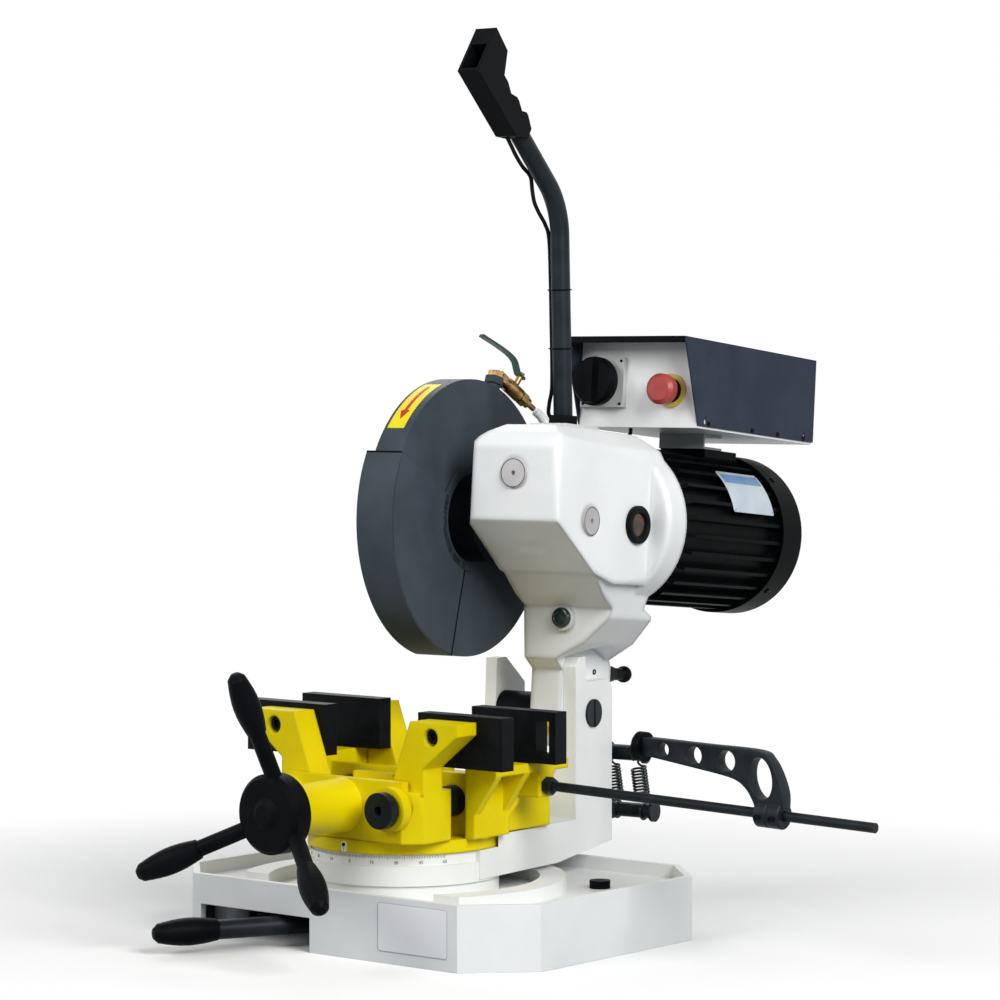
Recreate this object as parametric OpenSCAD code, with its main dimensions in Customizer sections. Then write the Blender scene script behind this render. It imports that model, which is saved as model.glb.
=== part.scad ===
// Cold saw: tray base, swivelling arm, self-centring vise and a tilting worm-drive saw head.
// Millimetres, +Z up. The origin is on the floor under the middle of the base; the operator is at -Y.

/* [Base] */
// Width of the base, left to right
base_w = 570; // [560:1:600]
// Depth of the base, front to back
base_d = 440; // [430:1:460]
// Height of the base rim
base_h = 80; // [78:1:84]
// Corner chamfer of the base
base_chamfer = 70; // [60:1:80]
// Wall of the base casting
base_wall = 9; // [7:0.5:11]
// Depth of the coolant tray below the rim
tray_drop = 17; // [14:1:19]
// Distance of the swivel axis in front of the base centre
swivel_offset = 66; // [62:1:70]
// Hole spacing of the stand bolts, left to right
mount_x = 430; // [410:1:440]
// Hole spacing of the stand bolts, front to back
mount_y = 300; // [290:1:310]
// Radius of the stand bolt holes
mount_hole_r = 6; // [5:0.5:8]

/* [Swivel arm] */
// Angle the arm is set to at rest
swivel_rest = 6; // [0:1:12]
// Radius of the turning ring
ring_r = 121; // [119:0.5:122]
// Radius of the angle scale
scale_r = 116; // [112:0.5:118]
// Radius of the king pin
king_r = 25; // [22:0.5:27]
// Distance of the head pivot behind the swivel axis
pivot_y = 248; // [246:1:252]
// Height of the head pivot
pivot_z = 268; // [266:1:274]
// Radius of the pivot shaft
pivot_r = 15; // [13:0.5:16]

/* [Vise] */
// Opening between the jaw plates at rest
vise_open = 80; // [70:1:84]
// Height of the jaw plates
plate_h = 64; // [56:1:68]
// Length of one jaw plate
plate_len = 132; // [126:1:136]
// Thickness of a jaw plate
plate_t = 22; // [18:0.5:24]
// Gap for the blade between the left and right plates
blade_gap = 152; // [146:1:156]
// Radius of a guide bar
bar_r = 19; // [16:0.5:20]
// Radius of the vise screw
screw_r = 12; // [10:0.5:13]

/* [Saw head] */
// Angle the head is raised by at rest
head_raise = 5; // [3:0.5:6]
// Radius of the blade
blade_r = 157.5; // [150:0.5:158]
// Thickness of the blade body
blade_t = 2.5; // [2:0.1:3]
// Teeth on the blade
blade_teeth = 110; // [80:2:140]
// Outer radius of the fixed guard
guard_r = 175; // [173:0.5:176]
// Reach of the fixed guard to the left of the head axis
guard_left = 13; // [12.5:0.5:16]
// Reach of the fixed guard to the right of the head axis
guard_right = 26.5; // [25:0.5:27]
// Radius of the motor flange
flange_r = 108; // [105:0.5:109]
// Radius of the motor body under the fins
motor_r = 92; // [88:0.5:94]
// Number of cooling fins round the motor
fin_count = 28; // [20:2:32]

/* [Handle and box] */
// Radius of the handle tube
tube_r = 12; // [10:0.5:13]
// Width of the control box
box_w = 182; // [176:1:184]
// Length of the control box
box_l = 310; // [296:1:316]
// Height of the control box
box_h = 115; // [110:1:118]

/* [Length stop] */
// Radius of the stop rod
rod_r = 6; // [5:0.25:7]
// Length of the stop rod beyond the table
rod_len = 482; // [470:1:500]
// Droop of the stop rod
rod_droop = 1.57; // [0:0.01:2]

/* [Fits] */
// Gap between faces that slide or turn on each other
face_gap = 0.4; // [0.3:0.05:0.6]
// Radial running fit of shafts in bores
run_fit = 0.05; // [0.02:0.01:0.1]

/* [Hidden] */
$fn = 48;
eps = 1;
casting_white = "#ebece7";
vise_yellow = "#d2bd08";
guard_grey = "#3d464d";
jaw_black = "#12191d";
lid_grey = "#333b46";
dark_steel = "#303a3c";
bright_steel = "#a9adb0";
motor_black = "#0a0f12";
plastic_black = "#141414";
brass_gold = "#b08d45";

// Heights of the base, the swivel ring and the vise, each from the one below
floor_t = 8;
tray_z = base_h - tray_drop;
floor_z = tray_z - floor_t;
pedestal_z = base_h + 2;
pedestal_r = ring_r - 3;
turn_z = pedestal_z + face_gap;
scale_z0 = turn_z + 24.6;
scale_z1 = scale_z0 + 13.6;
vise_z0 = scale_z1 + face_gap;
bed_z = vise_z0 + 16;
saddle_z0 = bed_z + face_gap;
screw_z = bed_z + 42;
wall_z = bed_z + 77;
table_z = bed_z + 90;
plate_z0 = table_z + 1;
arm_top = bed_z - eps - face_gap;
arm_floor = turn_z + 2.6;

// King pin and lock lever under the base
king_flange_r = 48;
king_flange_h = 10;
king_low = 12;
lock_top = 40;
lock_hub_r = 34;
lock_z = 27;
lock_angle = 27;
lock_arm_r = 12;
grip_start = 246;
grip_end = 328;
notch_x0 = -202;
notch_x1 = -19;
notch_h = 42.5;
moat_r = 202;
moat_in = 169;
drain_at = [moat_r - 15, 90];
drain_r = 13;

// Swivel arm and its column
arm_x0 = -29;
arm_x1 = 122;
column_y0 = pivot_y - 41;
column_y1 = pivot_y + 47;
slot_x0 = -12.4;
slot_x1 = 103;
slot_z = pivot_z - 78;
ear_top = pivot_z + 74;
ear_step = pivot_z + 41;
ear_room = 86.5;
vise_room = 125;

// Vise, in the base axes with Y from the swivel axis
saddle_half = 115;
saddle_in = 46;
saddle_out = 116;
saddle_top = wall_z - 14;
ridge_top = wall_z - 2;
bar_x = saddle_half - 30;
jaw_y = vise_open / 2;
upright_t = 37;
upright_x = saddle_half + 53;
upright_top = plate_z0 + 57;
table_x0 = saddle_half + 2;
table_x1 = table_x0 + 48;
table_front = -21.5;
table_rear = 120;
table_t = 12;
wall_t = 14;
cross_half = 5;
cone_end = 221;
bar_front = 146;
bar_rear = 146;
wheel_y1 = cone_end + 3;
wheel_t = 27;
wheel_y0 = wheel_y1 + wheel_t;
wheel_r = 48.5;
spoke_angles = [87, 207, 327];
spoke_lean = 30;
spoke_root = 44;
spoke_len = 66;
wheel_grip_len = 84;

// Length stop
rod_y = 76;
rod_z = table_z - 30;
stop_x = 338;
stop_t = 12;
pad_z = 62;

// Saw head, in its own axes centred on the spindle
pivot_back = 160.5;
pivot_drop = 240;
motor_x = 136;
motor_zl = 4;
worm_z = motor_zl + 50;
case_x0 = 66;
case_x1 = 200;
flank_y0 = -66;
flank_y1 = 126;
flank_out = 14;
flank_turn = atan2(flank_out, flank_y1 - flank_y0);
case_top = 112;
gear_top = case_top + 4;
pad_top = case_top + 8;
neck_x0 = 56;
neck_x1 = 102.5;
hub_r = 46;
bush_r = pivot_r + 4;
motor_y0 = 168;
motor_y1 = 436;
cover_y1 = 498;
cover_r = 106;
fin_r = 102;
stator_r = 70;
rotor_r = 43.5;
shaft_r = 12;
box_mid = 131;
box_x0 = box_mid - box_w / 2;
box_x1 = box_mid + box_w / 2;
box_y0 = 223;
box_y1 = box_y0 + box_l;
box_z0 = 132;
box_z1 = box_z0 + box_h;
lid_lip = 42;
sheet_t = 2;
switch_at = [79, box_z0 + 58];
estop_at = [180, box_z0 + 48];
plug_r = 18;
drain_x = 116;
knob_at = [88, -190];
sight_at = [98, 0.6];
guard_wall = 2.5;
guard_hub_r = 55;
mover_r = guard_r + 3;
mover_left = guard_left + 10;
mover_right = guard_right + 3.5;
boss_h = 7;
blade_x = 5;
mover_from = 156;
mover_to = 259;
handle_x = 148;
handle_y = 16;
tube_lean = 7;
tube_bend = 46;
tube_bend_r = 90;
tube_low = 235;
tube_high = 100;
tube_in_grip = 26;
grip_half = 15;
cable_r = 2.5;
cable_x = handle_x - tube_r - cable_r - 0.4;
valve_from = [16, 60.4, 186];
valve_tip = 121.6;
valve_turn = 72.1;
valve_len = 76;
boss_angle = 72;
hose_r = 6;

// Return springs between the tail pin and the column pin, in the swivel axes
tail_y = pivot_y + 74;
tail_z = pivot_z - 57;
tail_pin_r = 10;
anchor_y = pivot_y + 93;
anchor_z = pivot_z - 134;
anchor_r = 9.5;
spring_x = [143, 103];
pin_end = 156;
wire_r = 1.5;
coil_r = 9.5;
coil_turns = 9;
coil_pitch = 4.2;
coil_rise = 4;
rings_per_turn = 8;
spring_span = norm([tail_y - anchor_y, tail_z - anchor_z]);
spring_low = anchor_r + 0.3;
spring_high = spring_span - tail_pin_r - 0.3;
coil_low = (spring_low + spring_high - coil_turns * coil_pitch) / 2;
coil_high = coil_low + coil_turns * coil_pitch;
spring_tilt = atan2(anchor_y - tail_y, tail_z - anchor_z);
function coil_point(turn, rise, r) = [r * cos(360 * turn), r * sin(360 * turn), rise];
spring_line = concat(
    [[0, 0, spring_low], [0, 0, spring_low + 2 * wire_r]],
    [for (i = [1 : 6]) coil_point(i / 8 - 0.75, coil_low - coil_rise * (1 - i / 6), coil_r * i / 6)],
    [for (i = [1 : coil_turns * rings_per_turn - 1])
        coil_point(i / rings_per_turn, coil_low + coil_pitch * i / rings_per_turn, coil_r)],
    [for (i = [0 : 5]) coil_point(i / 8, coil_high + coil_rise * i / 6, coil_r * (1 - i / 6))],
    [[0, 0, spring_high - 2 * wire_r], [0, 0, spring_high]]);
spring_gap = min([for (i = [0 : len(spring_line) - 7]) for (j = [i + 6 : len(spring_line) - 1])
    norm(spring_line[i] - spring_line[j])]) - 2 * wire_r;
echo(least_spring_gap = spring_gap);

// Route of the switch cable down the handle tube and back under the control box, in the head axes
cable_route = [
    [142, -133.6, 460], [141, -122.4, 451.6], [138.5, -105.7, 440.5], [135, -84.7, 430.3], [cable_x, -63.2, 421],
    [cable_x - 1, -56, 405], [cable_x - 1, -50, 391], [cable_x - 0.6, -39, 379], [cable_x, -25, 367],
    [cable_x, -14, 350], [cable_x, -6, 300], [cable_x, 1.3, 240], [cable_x, 6.2, 200], [cable_x - 1, 10.5, 165],
    [cable_x - 6, 14, 146], [cable_x - 12, 24, 133], [cable_x - 14, 45, 126], [cable_x - 17, 80, 121],
    [cable_x - 19, 120, 119.5], [cable_x - 20, 160, 119.5], [cable_x - 20, 200, 118.5], [cable_x - 20, 225, 119],
    [cable_x - 20, 235, 124], [cable_x - 20, 236, box_z0 - 0.3]];

// Route of the clear coolant hose from the valve to its nipple on the gearcase, in the head axes
hose_route = [
    [36.5, 124.9, 144], [38.5, 131, 140], [42, 137, 133], [47.5, 141, 124], [54, 142, 114], [61, 141, 105],
    [67.9, 140, 96.8]];

module on_axis() translate([0, -swivel_offset, 0]) children();
module on_swivel() on_axis() rotate([0, 0, swivel_rest]) children();
module on_head() on_swivel() translate([0, pivot_y, pivot_z]) rotate([-head_raise, 0, 0])
    translate([0, -pivot_back, pivot_drop]) children();
module on_motor() on_head() translate([motor_x, 0, motor_zl]) children();

module rod_x(r, x0, x1, y = 0, z = 0) translate([x0, y, z]) rotate([0, 90, 0]) cylinder(r = r, h = x1 - x0);
module rod_y(r, y0, y1, x = 0, z = 0) translate([x, y0, z]) rotate([-90, 0, 0]) cylinder(r = r, h = y1 - y0);
module rod_z(r, z0, z1, x = 0, y = 0) translate([x, y, z0]) cylinder(r = r, h = z1 - z0);
module box(x, y, z) translate([x[0], y[0], z[0]]) cube([x[1] - x[0], y[1] - y[0], z[1] - z[0]]);
// Extrudes a (y, z) outline along X
module side(x0, x1) translate([x0, 0, 0]) rotate([90, 0, 90]) linear_extrude(x1 - x0) children();
// Extrudes an (x, z) outline along Y
module face(y0, y1) translate([0, y1, 0]) rotate([90, 0, 0]) linear_extrude(y1 - y0) children();
module both_sides() {
    children();
    mirror([1, 0, 0]) children();
}
module base_plan(inset) {
    w = base_w / 2 - inset;
    d = base_d / 2 - inset;
    c = base_chamfer - 0.586 * inset;
    polygon([[w - c, -d], [w, c - d], [w, d - c], [w - c, d], [c - w, d], [-w, d - c], [-w, c - d], [c - w, -d]]);
}
module mount_places() for (x = [-1, 1], y = [-1, 1]) translate([x * mount_x / 2, y * mount_y / 2, 0]) children();
module toothed(count, tip, root) polygon([for (i = [0 : count - 1], k = [0 : 3])
    let (a = 360 * (i + [0, 0.26, 0.5, 0.76][k]) / count, r = k < 2 ? tip : root) [r * cos(a), r * sin(a)]]);
// A sector of a ring in the (y, z) plane, from one angle to another, angle 0 at +Y
module sector(r0, r1, a0, a1) polygon(concat(
    [for (i = [0 : 24]) let (a = a0 + (a1 - a0) * i / 24) [r1 * cos(a), r1 * sin(a)]],
    [for (i = [0 : 24]) let (a = a1 + (a0 - a1) * i / 24) [r0 * cos(a), r0 * sin(a)]]));
module wedge(r, a0, a1) polygon([[0, 0], [r * cos(a0), r * sin(a0)],
    [1.7 * r * cos((a0 + a1) / 2), 1.7 * r * sin((a0 + a1) / 2)], [r * cos(a1), r * sin(a1)]]);

// A tube swept along points: rings carried without twist and joined by triangles
function unit(v) = v / norm(v);
function ways(p) = [for (i = [0 : len(p) - 1]) unit(p[min(i + 1, len(p) - 1)] - p[max(i - 1, 0)])];
function carried(u, t) = unit(u - (u * t) * t);
function sides_of(t, first) = [for (i = 0, u = carried(first, t[0]); i < len(t);
    i = i + 1, u = i < len(t) ? carried(u, t[i]) : u) u];
function between(a, b, c, d, t) = 0.5 * (2 * b + (c - a) * t + (2 * a - 5 * b + 4 * c - d) * t * t
    + (3 * b - a - 3 * c + d) * t * t * t);
function smoothed(p, steps) = concat([for (i = [0 : len(p) - 2], k = [0 : steps - 1])
    between(p[max(i - 1, 0)], p[i], p[i + 1], p[min(i + 2, len(p) - 1)], k / steps)], [p[len(p) - 1]]);
module swept(p, r, n, first) {
    t = ways(p);
    u = sides_of(t, first);
    last = (len(p) - 1) * n;
    polyhedron(
        points = [for (i = [0 : len(p) - 1], k = [0 : n - 1])
            p[i] + r * (cos(360 * k / n) * u[i] + sin(360 * k / n) * cross(t[i], u[i]))],
        faces = concat(
            [for (k = [1 : n - 2]) [0, k, k + 1]],
            [for (k = [1 : n - 2]) [last, last + k + 1, last + k]],
            [for (i = [0 : len(p) - 2], k = [0 : n - 1]) [i * n + k, (i + 1) * n + k, i * n + (k + 1) % n]],
            [for (i = [0 : len(p) - 2], k = [0 : n - 1])
                [i * n + (k + 1) % n, (i + 1) * n + k, (i + 1) * n + (k + 1) % n]]));
}

// Octagonal cast base: coolant tray on top, hollow below, pedestal for the swivel and a notch for the lock lever
module base_tray() color(casting_white) difference() {
    union() {
        difference() {
            linear_extrude(base_h) base_plan(0);
            translate([0, 0, tray_z]) linear_extrude(base_h) base_plan(base_wall);
            translate([0, 0, -eps]) linear_extrude(floor_z + eps) base_plan(base_wall);
        }
        on_axis() {
            rod_z(pedestal_r, floor_z, pedestal_z);
            rod_z(60, lock_top, tray_z);
            intersection() {
                difference() {
                    rod_z(moat_r, floor_z, base_h);
                    rod_z(moat_in, floor_z - eps, base_h + eps);
                }
                box([-moat_r, moat_r], [-102, moat_r], [0, base_h + eps]);
            }
        }
        mount_places() rod_z(22, 0, tray_z - eps);
        for (x = [-90, 82]) box([x, x + 8], [-20, base_d / 2 - eps], [24, tray_z - eps]);
        box([30, base_w / 2 - eps], [-6, 2], [44, tray_z - eps]);
        box([-base_w / 2 + eps, -30], [-6, 2], [44, tray_z - eps]);
    }
    on_axis() rod_z(king_r, -eps, base_h + 9);
    mount_places() rod_z(mount_hole_r, -eps, 36);
    rod_z(drain_r - 4, floor_z - eps, tray_z + eps, drain_at[0], drain_at[1]);
    box([notch_x0, notch_x1], [-base_d / 2 - eps, -base_d / 2 + base_wall + eps], [-eps, notch_h]);
}

// Flanged king pin that the arm turns on and the vise stands on
module king_pin() color(bright_steel) on_axis() {
    rod_z(king_r, king_low, vise_z0 - king_flange_h + 0.5);
    rod_z(king_flange_r, vise_z0 - king_flange_h, vise_z0);
}

// Perforated plug over the drain of the tray
module drain_strainer() color(plastic_black) translate([drain_at[0], drain_at[1], 0]) difference() {
    union() {
        rod_z(drain_r, tray_z, tray_z + 10);
        rod_z(drain_r - 4.2, floor_z - 6, tray_z + eps);
    }
    rod_z(drain_r - 6.5, floor_z - 8, tray_z + 6);
    for (a = [0 : 60 : 300]) rotate([0, 0, a]) rod_z(1.6, tray_z - eps, tray_z + 12, 4.2);
}

// Clamp lever whose hub is threaded on the foot of the king pin
module on_lock() on_axis() rotate([0, 0, -lock_angle]) translate([0, 0, lock_z]) children();
module lock_lever() color(dark_steel) on_lock() difference() {
    union() {
        rod_z(lock_hub_r, king_low + 2 - lock_z, lock_top - face_gap - lock_z);
        rod_y(lock_arm_r, -grip_start, -lock_hub_r + 4);
        rod_y(lock_arm_r - 5, -grip_start - 40, -grip_start + eps);
    }
    rod_z(king_r + run_fit, -lock_z, lock_top);
}
module spindle_grip(len, r_root, r_mid, r_tip) rotate_extrude() polygon(concat([[0, 0]],
    [for (i = [0 : 8]) let (t = i / 8, s = sin(180 * t))
        [r_root + (r_tip - r_root) * t + (r_mid - (r_root + r_tip) / 2) * s, len * t]],
    [[r_tip * 0.55, len + r_tip * 0.5], [0, len + r_tip * 0.6]]));
module lock_grip() color(plastic_black) on_lock() difference() {
    translate([0, -grip_start, 0]) rotate([90, 0, 0]) spindle_grip(grip_end - grip_start - 7, 13, 17, 12);
    rod_y(lock_arm_r - 5, -grip_start - 40, -grip_start + eps);
}

// Cast arm: turning ring with the angle scale, reaching back to a column with two pivot ears
module swivel_arm() color(casting_white) on_swivel() difference() {
    union() {
        rod_z(ring_r, turn_z, scale_z0);
        rod_z(scale_r, scale_z0 - eps, scale_z1);
        intersection() {
            linear_extrude(300) polygon([[arm_x1, -13], [arm_x1, column_y1], [arm_x0, column_y1],
                [arm_x0, column_y0], [-ring_r + 8, 43], [-60, -10]]);
            side(-150, 150) polygon([[-40, arm_floor], [165, arm_floor], [column_y1, arm_floor + 15],
                [column_y1, arm_top], [-40, arm_top]]);
        }
        side(arm_x0, arm_x1) polygon([[column_y0, arm_floor + 12], [column_y1, arm_floor + 20],
            [column_y1, slot_z], [column_y0, slot_z]]);
        side(slot_x1, arm_x1) polygon([[column_y0, slot_z - eps], [column_y0, ear_top - 12], [column_y0 + 8, ear_top],
            [column_y0 + 24, ear_top], [column_y0 + 24, ear_step], [column_y1 - 8, ear_step],
            [column_y1, ear_step - 12], [column_y1, slot_z - eps]]);
        side(arm_x0, slot_x0) polygon([[column_y0, slot_z - eps], [column_y0 + 17, slot_z + 60],
            [column_y0 + 22, ear_top - 8], [column_y0 + 44, ear_top - 8], [column_y1, ear_step - 10],
            [column_y1, slot_z - eps]]);
        face(column_y0, column_y1) polygon([[slot_x1 - 15, slot_z - eps], [slot_x1 + eps, slot_z - eps],
            [slot_x1 + eps, slot_z + 26]]);
    }
    difference() {
        rod_z(vise_room, scale_z1, arm_top + 20);
        box([-150, 150], [column_y0, column_y1], [0, 300]);
    }
    rod_z(king_r + run_fit, 0, 200);
    rod_z(king_flange_r + face_gap, vise_z0 - king_flange_h - face_gap, 200);
    rod_x(pivot_r, arm_x0 - eps, arm_x1 + eps, pivot_y, pivot_z);
}

// Pivot shaft of the saw head, fixed in the ears, with a slotted end cap
module pivot_shaft() color(dark_steel) on_swivel() difference() {
    union() {
        rod_x(pivot_r, arm_x0, arm_x1 + eps, pivot_y, pivot_z);
        rod_x(pivot_r + 3, arm_x1, arm_x1 + 3, pivot_y, pivot_z);
    }
    box([arm_x1 + 1.5, arm_x1 + 4], [pivot_y - 2, pivot_y + 2], [pivot_z - 20, pivot_z + 20]);
}

// Steel block on the back of the column with the lower spring pin, and the screw that stops the tail
module spring_bracket() color(dark_steel) on_swivel() {
    difference() {
        box([68, 92], [column_y1, anchor_y + 14], [anchor_z - 14, anchor_z + 14]);
        rod_x(anchor_r, 67, 93, anchor_y, anchor_z);
    }
    rod_x(anchor_r, 68, pin_end, anchor_y, anchor_z);
    rod_x(anchor_r + 4, pin_end, pin_end + 4, anchor_y, anchor_z);
    rod_z(6, slot_z, pivot_z - 45.5, 79, pivot_y + 32);
    rod_z(8.5, slot_z, slot_z + 7, 79, pivot_y + 32);
}
module return_spring(x) color(bright_steel) on_swivel() translate([x, anchor_y, anchor_z])
    rotate([spring_tilt, 0, 0]) swept(spring_line, wire_r, 6, [1, 0, 0]);
module return_spring_outer() return_spring(spring_x[0]);
module return_spring_inner() return_spring(spring_x[1]);

// Fixed part of the vise: disc, cross wall that carries the bars and the screw, side walls and tables
module vise_base() color(vise_yellow) on_axis() difference() {
    union() {
        rod_z(scale_r + 4, vise_z0, bed_z);
        box([-table_x0 - wall_t, table_x0 + wall_t], [-cross_half, cross_half], [bed_z - eps, wall_z]);
        both_sides() {
            box([table_x0, table_x0 + wall_t], [table_front, saddle_in], [bed_z, table_z - eps]);
            box([table_x0, table_x1], [table_front, table_rear], [table_z - table_t, table_z]);
            for (y = [table_front, table_rear - 86]) face(y, y + 12) polygon([[table_x0, bed_z + 30],
                [table_x0 + wall_t, bed_z + 30], [table_x1, table_z - table_t], [table_x1, table_z - eps],
                [table_x0, table_z - eps]]);
            box([table_x0, table_x1], [rod_y - 15, rod_y + 15], [rod_z - 14, table_z - eps]);
            side(table_x0, table_x0 + wall_t) polygon([[saddle_in - eps, bed_z + 20], [saddle_in - eps, table_z - eps],
                [table_rear - 8, table_z - eps], [table_rear - 8, table_z - table_t]]);
        }
    }
    both_sides() rod_y(bar_r, -20, 20, bar_x, screw_z + 1);
    rod_y(screw_r + run_fit, -20, 20, 0, screw_z);
    translate([table_x1, rod_y, rod_z]) rotate([0, rod_droop, 0]) rod_x(rod_r, -60, 20);
    for (a = [225, 315]) rotate([0, 0, a]) rod_z(7, vise_z0 + 8, bed_z + eps, 104);
}
module guide_bars() color(dark_steel) on_axis() both_sides() difference() {
    union() {
        rod_y(bar_r, -bar_front, bar_rear, bar_x, screw_z + 1);
        rod_y(bar_r + 3, -bar_front, 12 - bar_front, bar_x, screw_z + 1);
    }
    rod_y(6, -bar_front - eps, -bar_front + 9, bar_x, screw_z + 1);
}

// Jaw casting in the base axes: saddle on the bars, splayed uprights behind the plates
module jaw_body() {
    linear_extrude(saddle_top) polygon([[saddle_half, -saddle_in], [-saddle_half, -saddle_in],
        [-saddle_half, 20 - saddle_out], [20 - saddle_half, -saddle_out], [saddle_half - 20, -saddle_out],
        [saddle_half, 20 - saddle_out]]);
    both_sides() face(-jaw_y - plate_t - upright_t, -jaw_y - plate_t) polygon([[saddle_half - 53, saddle_top - 4],
        [saddle_half, saddle_top - 4], [saddle_half, plate_z0], [upright_x, wall_z + 56], [upright_x, upright_top],
        [saddle_half - 20, upright_top]]);
    box([-33, 33], [-saddle_in - 12, -saddle_in], [saddle_top - eps, wall_z - 1]);
}
module jaw_bores() {
    both_sides() rod_y(bar_r + run_fit, -250, 250, bar_x, screw_z + 1);
    rod_y(screw_r + run_fit, -300, 300, 0, screw_z);
    box([-200, 200], [-300, 300], [-eps, saddle_z0]);
    both_sides() rod_y(11, -jaw_y - plate_t - upright_t - eps, -jaw_y - plate_t - upright_t + 14,
        saddle_half + 13, plate_z0 + 39);
}
module front_jaw() color(vise_yellow) on_axis() difference() {
    union() {
        jaw_body();
        box([20 - saddle_half, saddle_half - 20], [-saddle_out, 14 - saddle_out], [saddle_top - eps, ridge_top]);
        translate([0, eps - saddle_out, screw_z]) rotate([90, 0, 0])
            cylinder(r1 = 34, r2 = 28, h = cone_end - saddle_out + eps);
        both_sides() rod_y(27, -saddle_out - 14, eps - saddle_out, bar_x, screw_z + 1);
    }
    jaw_bores();
}
module rear_jaw() color(vise_yellow) on_axis() mirror([0, 1, 0]) difference() {
    union() {
        jaw_body();
        linear_extrude(bed_z + 53) polygon([[saddle_half, 24 - saddle_out], [-saddle_half, 24 - saddle_out],
            [-saddle_half, -146], [25 - saddle_half, -166], [saddle_half - 25, -166], [saddle_half, -146]]);
    }
    jaw_bores();
}

// Hardened jaw plates, one each side of the blade
module jaw_plates() both_sides() box([blade_gap / 2, blade_gap / 2 + plate_len], [-jaw_y - plate_t, -jaw_y],
    [plate_z0, plate_z0 + plate_h]);
module front_jaw_plates() color(jaw_black) on_axis() jaw_plates();
module rear_jaw_plates() color(jaw_black) on_axis() difference() {
    mirror([0, 1, 0]) jaw_plates();
    box([178, 198], [jaw_y - eps, jaw_y + plate_t + eps], [plate_z0 + 12, plate_z0 + 52]);
}

// Right- and left-hand screw on one spindle, turned by the three-spoke handwheel
module vise_screw() color(bright_steel) on_axis() rod_y(screw_r, 4 - wheel_y0, 140, 0, screw_z);
module on_spoke(a) translate([0, 12 - wheel_y0, screw_z]) rotate([0, 90 - a, 0]) translate([0, 0, spoke_root])
    rotate([spoke_lean, 0, 0]) children();
module handwheel() color(plastic_black) on_axis() difference() {
    union() {
        rod_y(wheel_r, 5 - wheel_y0, -wheel_y1, 0, screw_z);
        translate([0, 5.01 - wheel_y0, screw_z]) rotate([90, 0, 0]) cylinder(r1 = wheel_r, r2 = wheel_r - 5, h = 5);
        translate([0, 0.01 - wheel_y0, screw_z]) rotate([90, 0, 0]) cylinder(r1 = 20, r2 = 12, h = 6);
        for (a = spoke_angles) on_spoke(a) {
            rod_z(10, -18, spoke_len);
            rod_z(5, spoke_len - eps, spoke_len + 50);
        }
    }
    rod_y(screw_r, 4 - wheel_y0, -wheel_y1 + eps, 0, screw_z);
}
module handwheel_grips() color(plastic_black) on_axis() for (a = spoke_angles) on_spoke(a) difference() {
    translate([0, 0, spoke_len]) spindle_grip(wheel_grip_len - 8, 12, 16.5, 11);
    rod_z(5, spoke_len - eps, spoke_len + 50);
}

// Length stop: rod in the right table, sliding arm with a work pad
module on_rod() on_axis() translate([table_x1, rod_y, rod_z]) rotate([0, rod_droop, 0]) children();
module stop_rod() color(dark_steel) on_rod() {
    rod_x(rod_r, -48, rod_len);
    translate([face_gap, 0, 0]) rotate([0, 90, 0]) cylinder(r = 11, h = 11, $fn = 6);
}
module stop_arm() color(dark_steel) on_rod() difference() {
    union() {
        rod_x(16, stop_x - 18, stop_x + 18);
        face(-stop_t / 2, stop_t / 2) polygon([[152, 50], [152, 74], [320, 74], [335, 70], [355, 55], [359, 42],
            [356, 0], [322, 0], [302, 36], [264, 53]]);
    }
    rod_x(rod_r + run_fit, stop_x - 60, stop_x + 60);
    rod_y(7, -20, 20, 184, pad_z);
    rod_y(8.5, -20, 20, 229, pad_z);
    rod_y(8, -20, 20, 276, pad_z + 1);
    rod_y(17, -20, 20, 326, 45);
    box([stop_x - 30, stop_x + 30], [-1, 1], [-20, -2]);
}
module stop_pad() color(plastic_black) on_rod() difference() {
    rod_x(18, 142, 152, 0, pad_z);
    rod_x(5, 141, 147, 0, pad_z);
}

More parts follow.
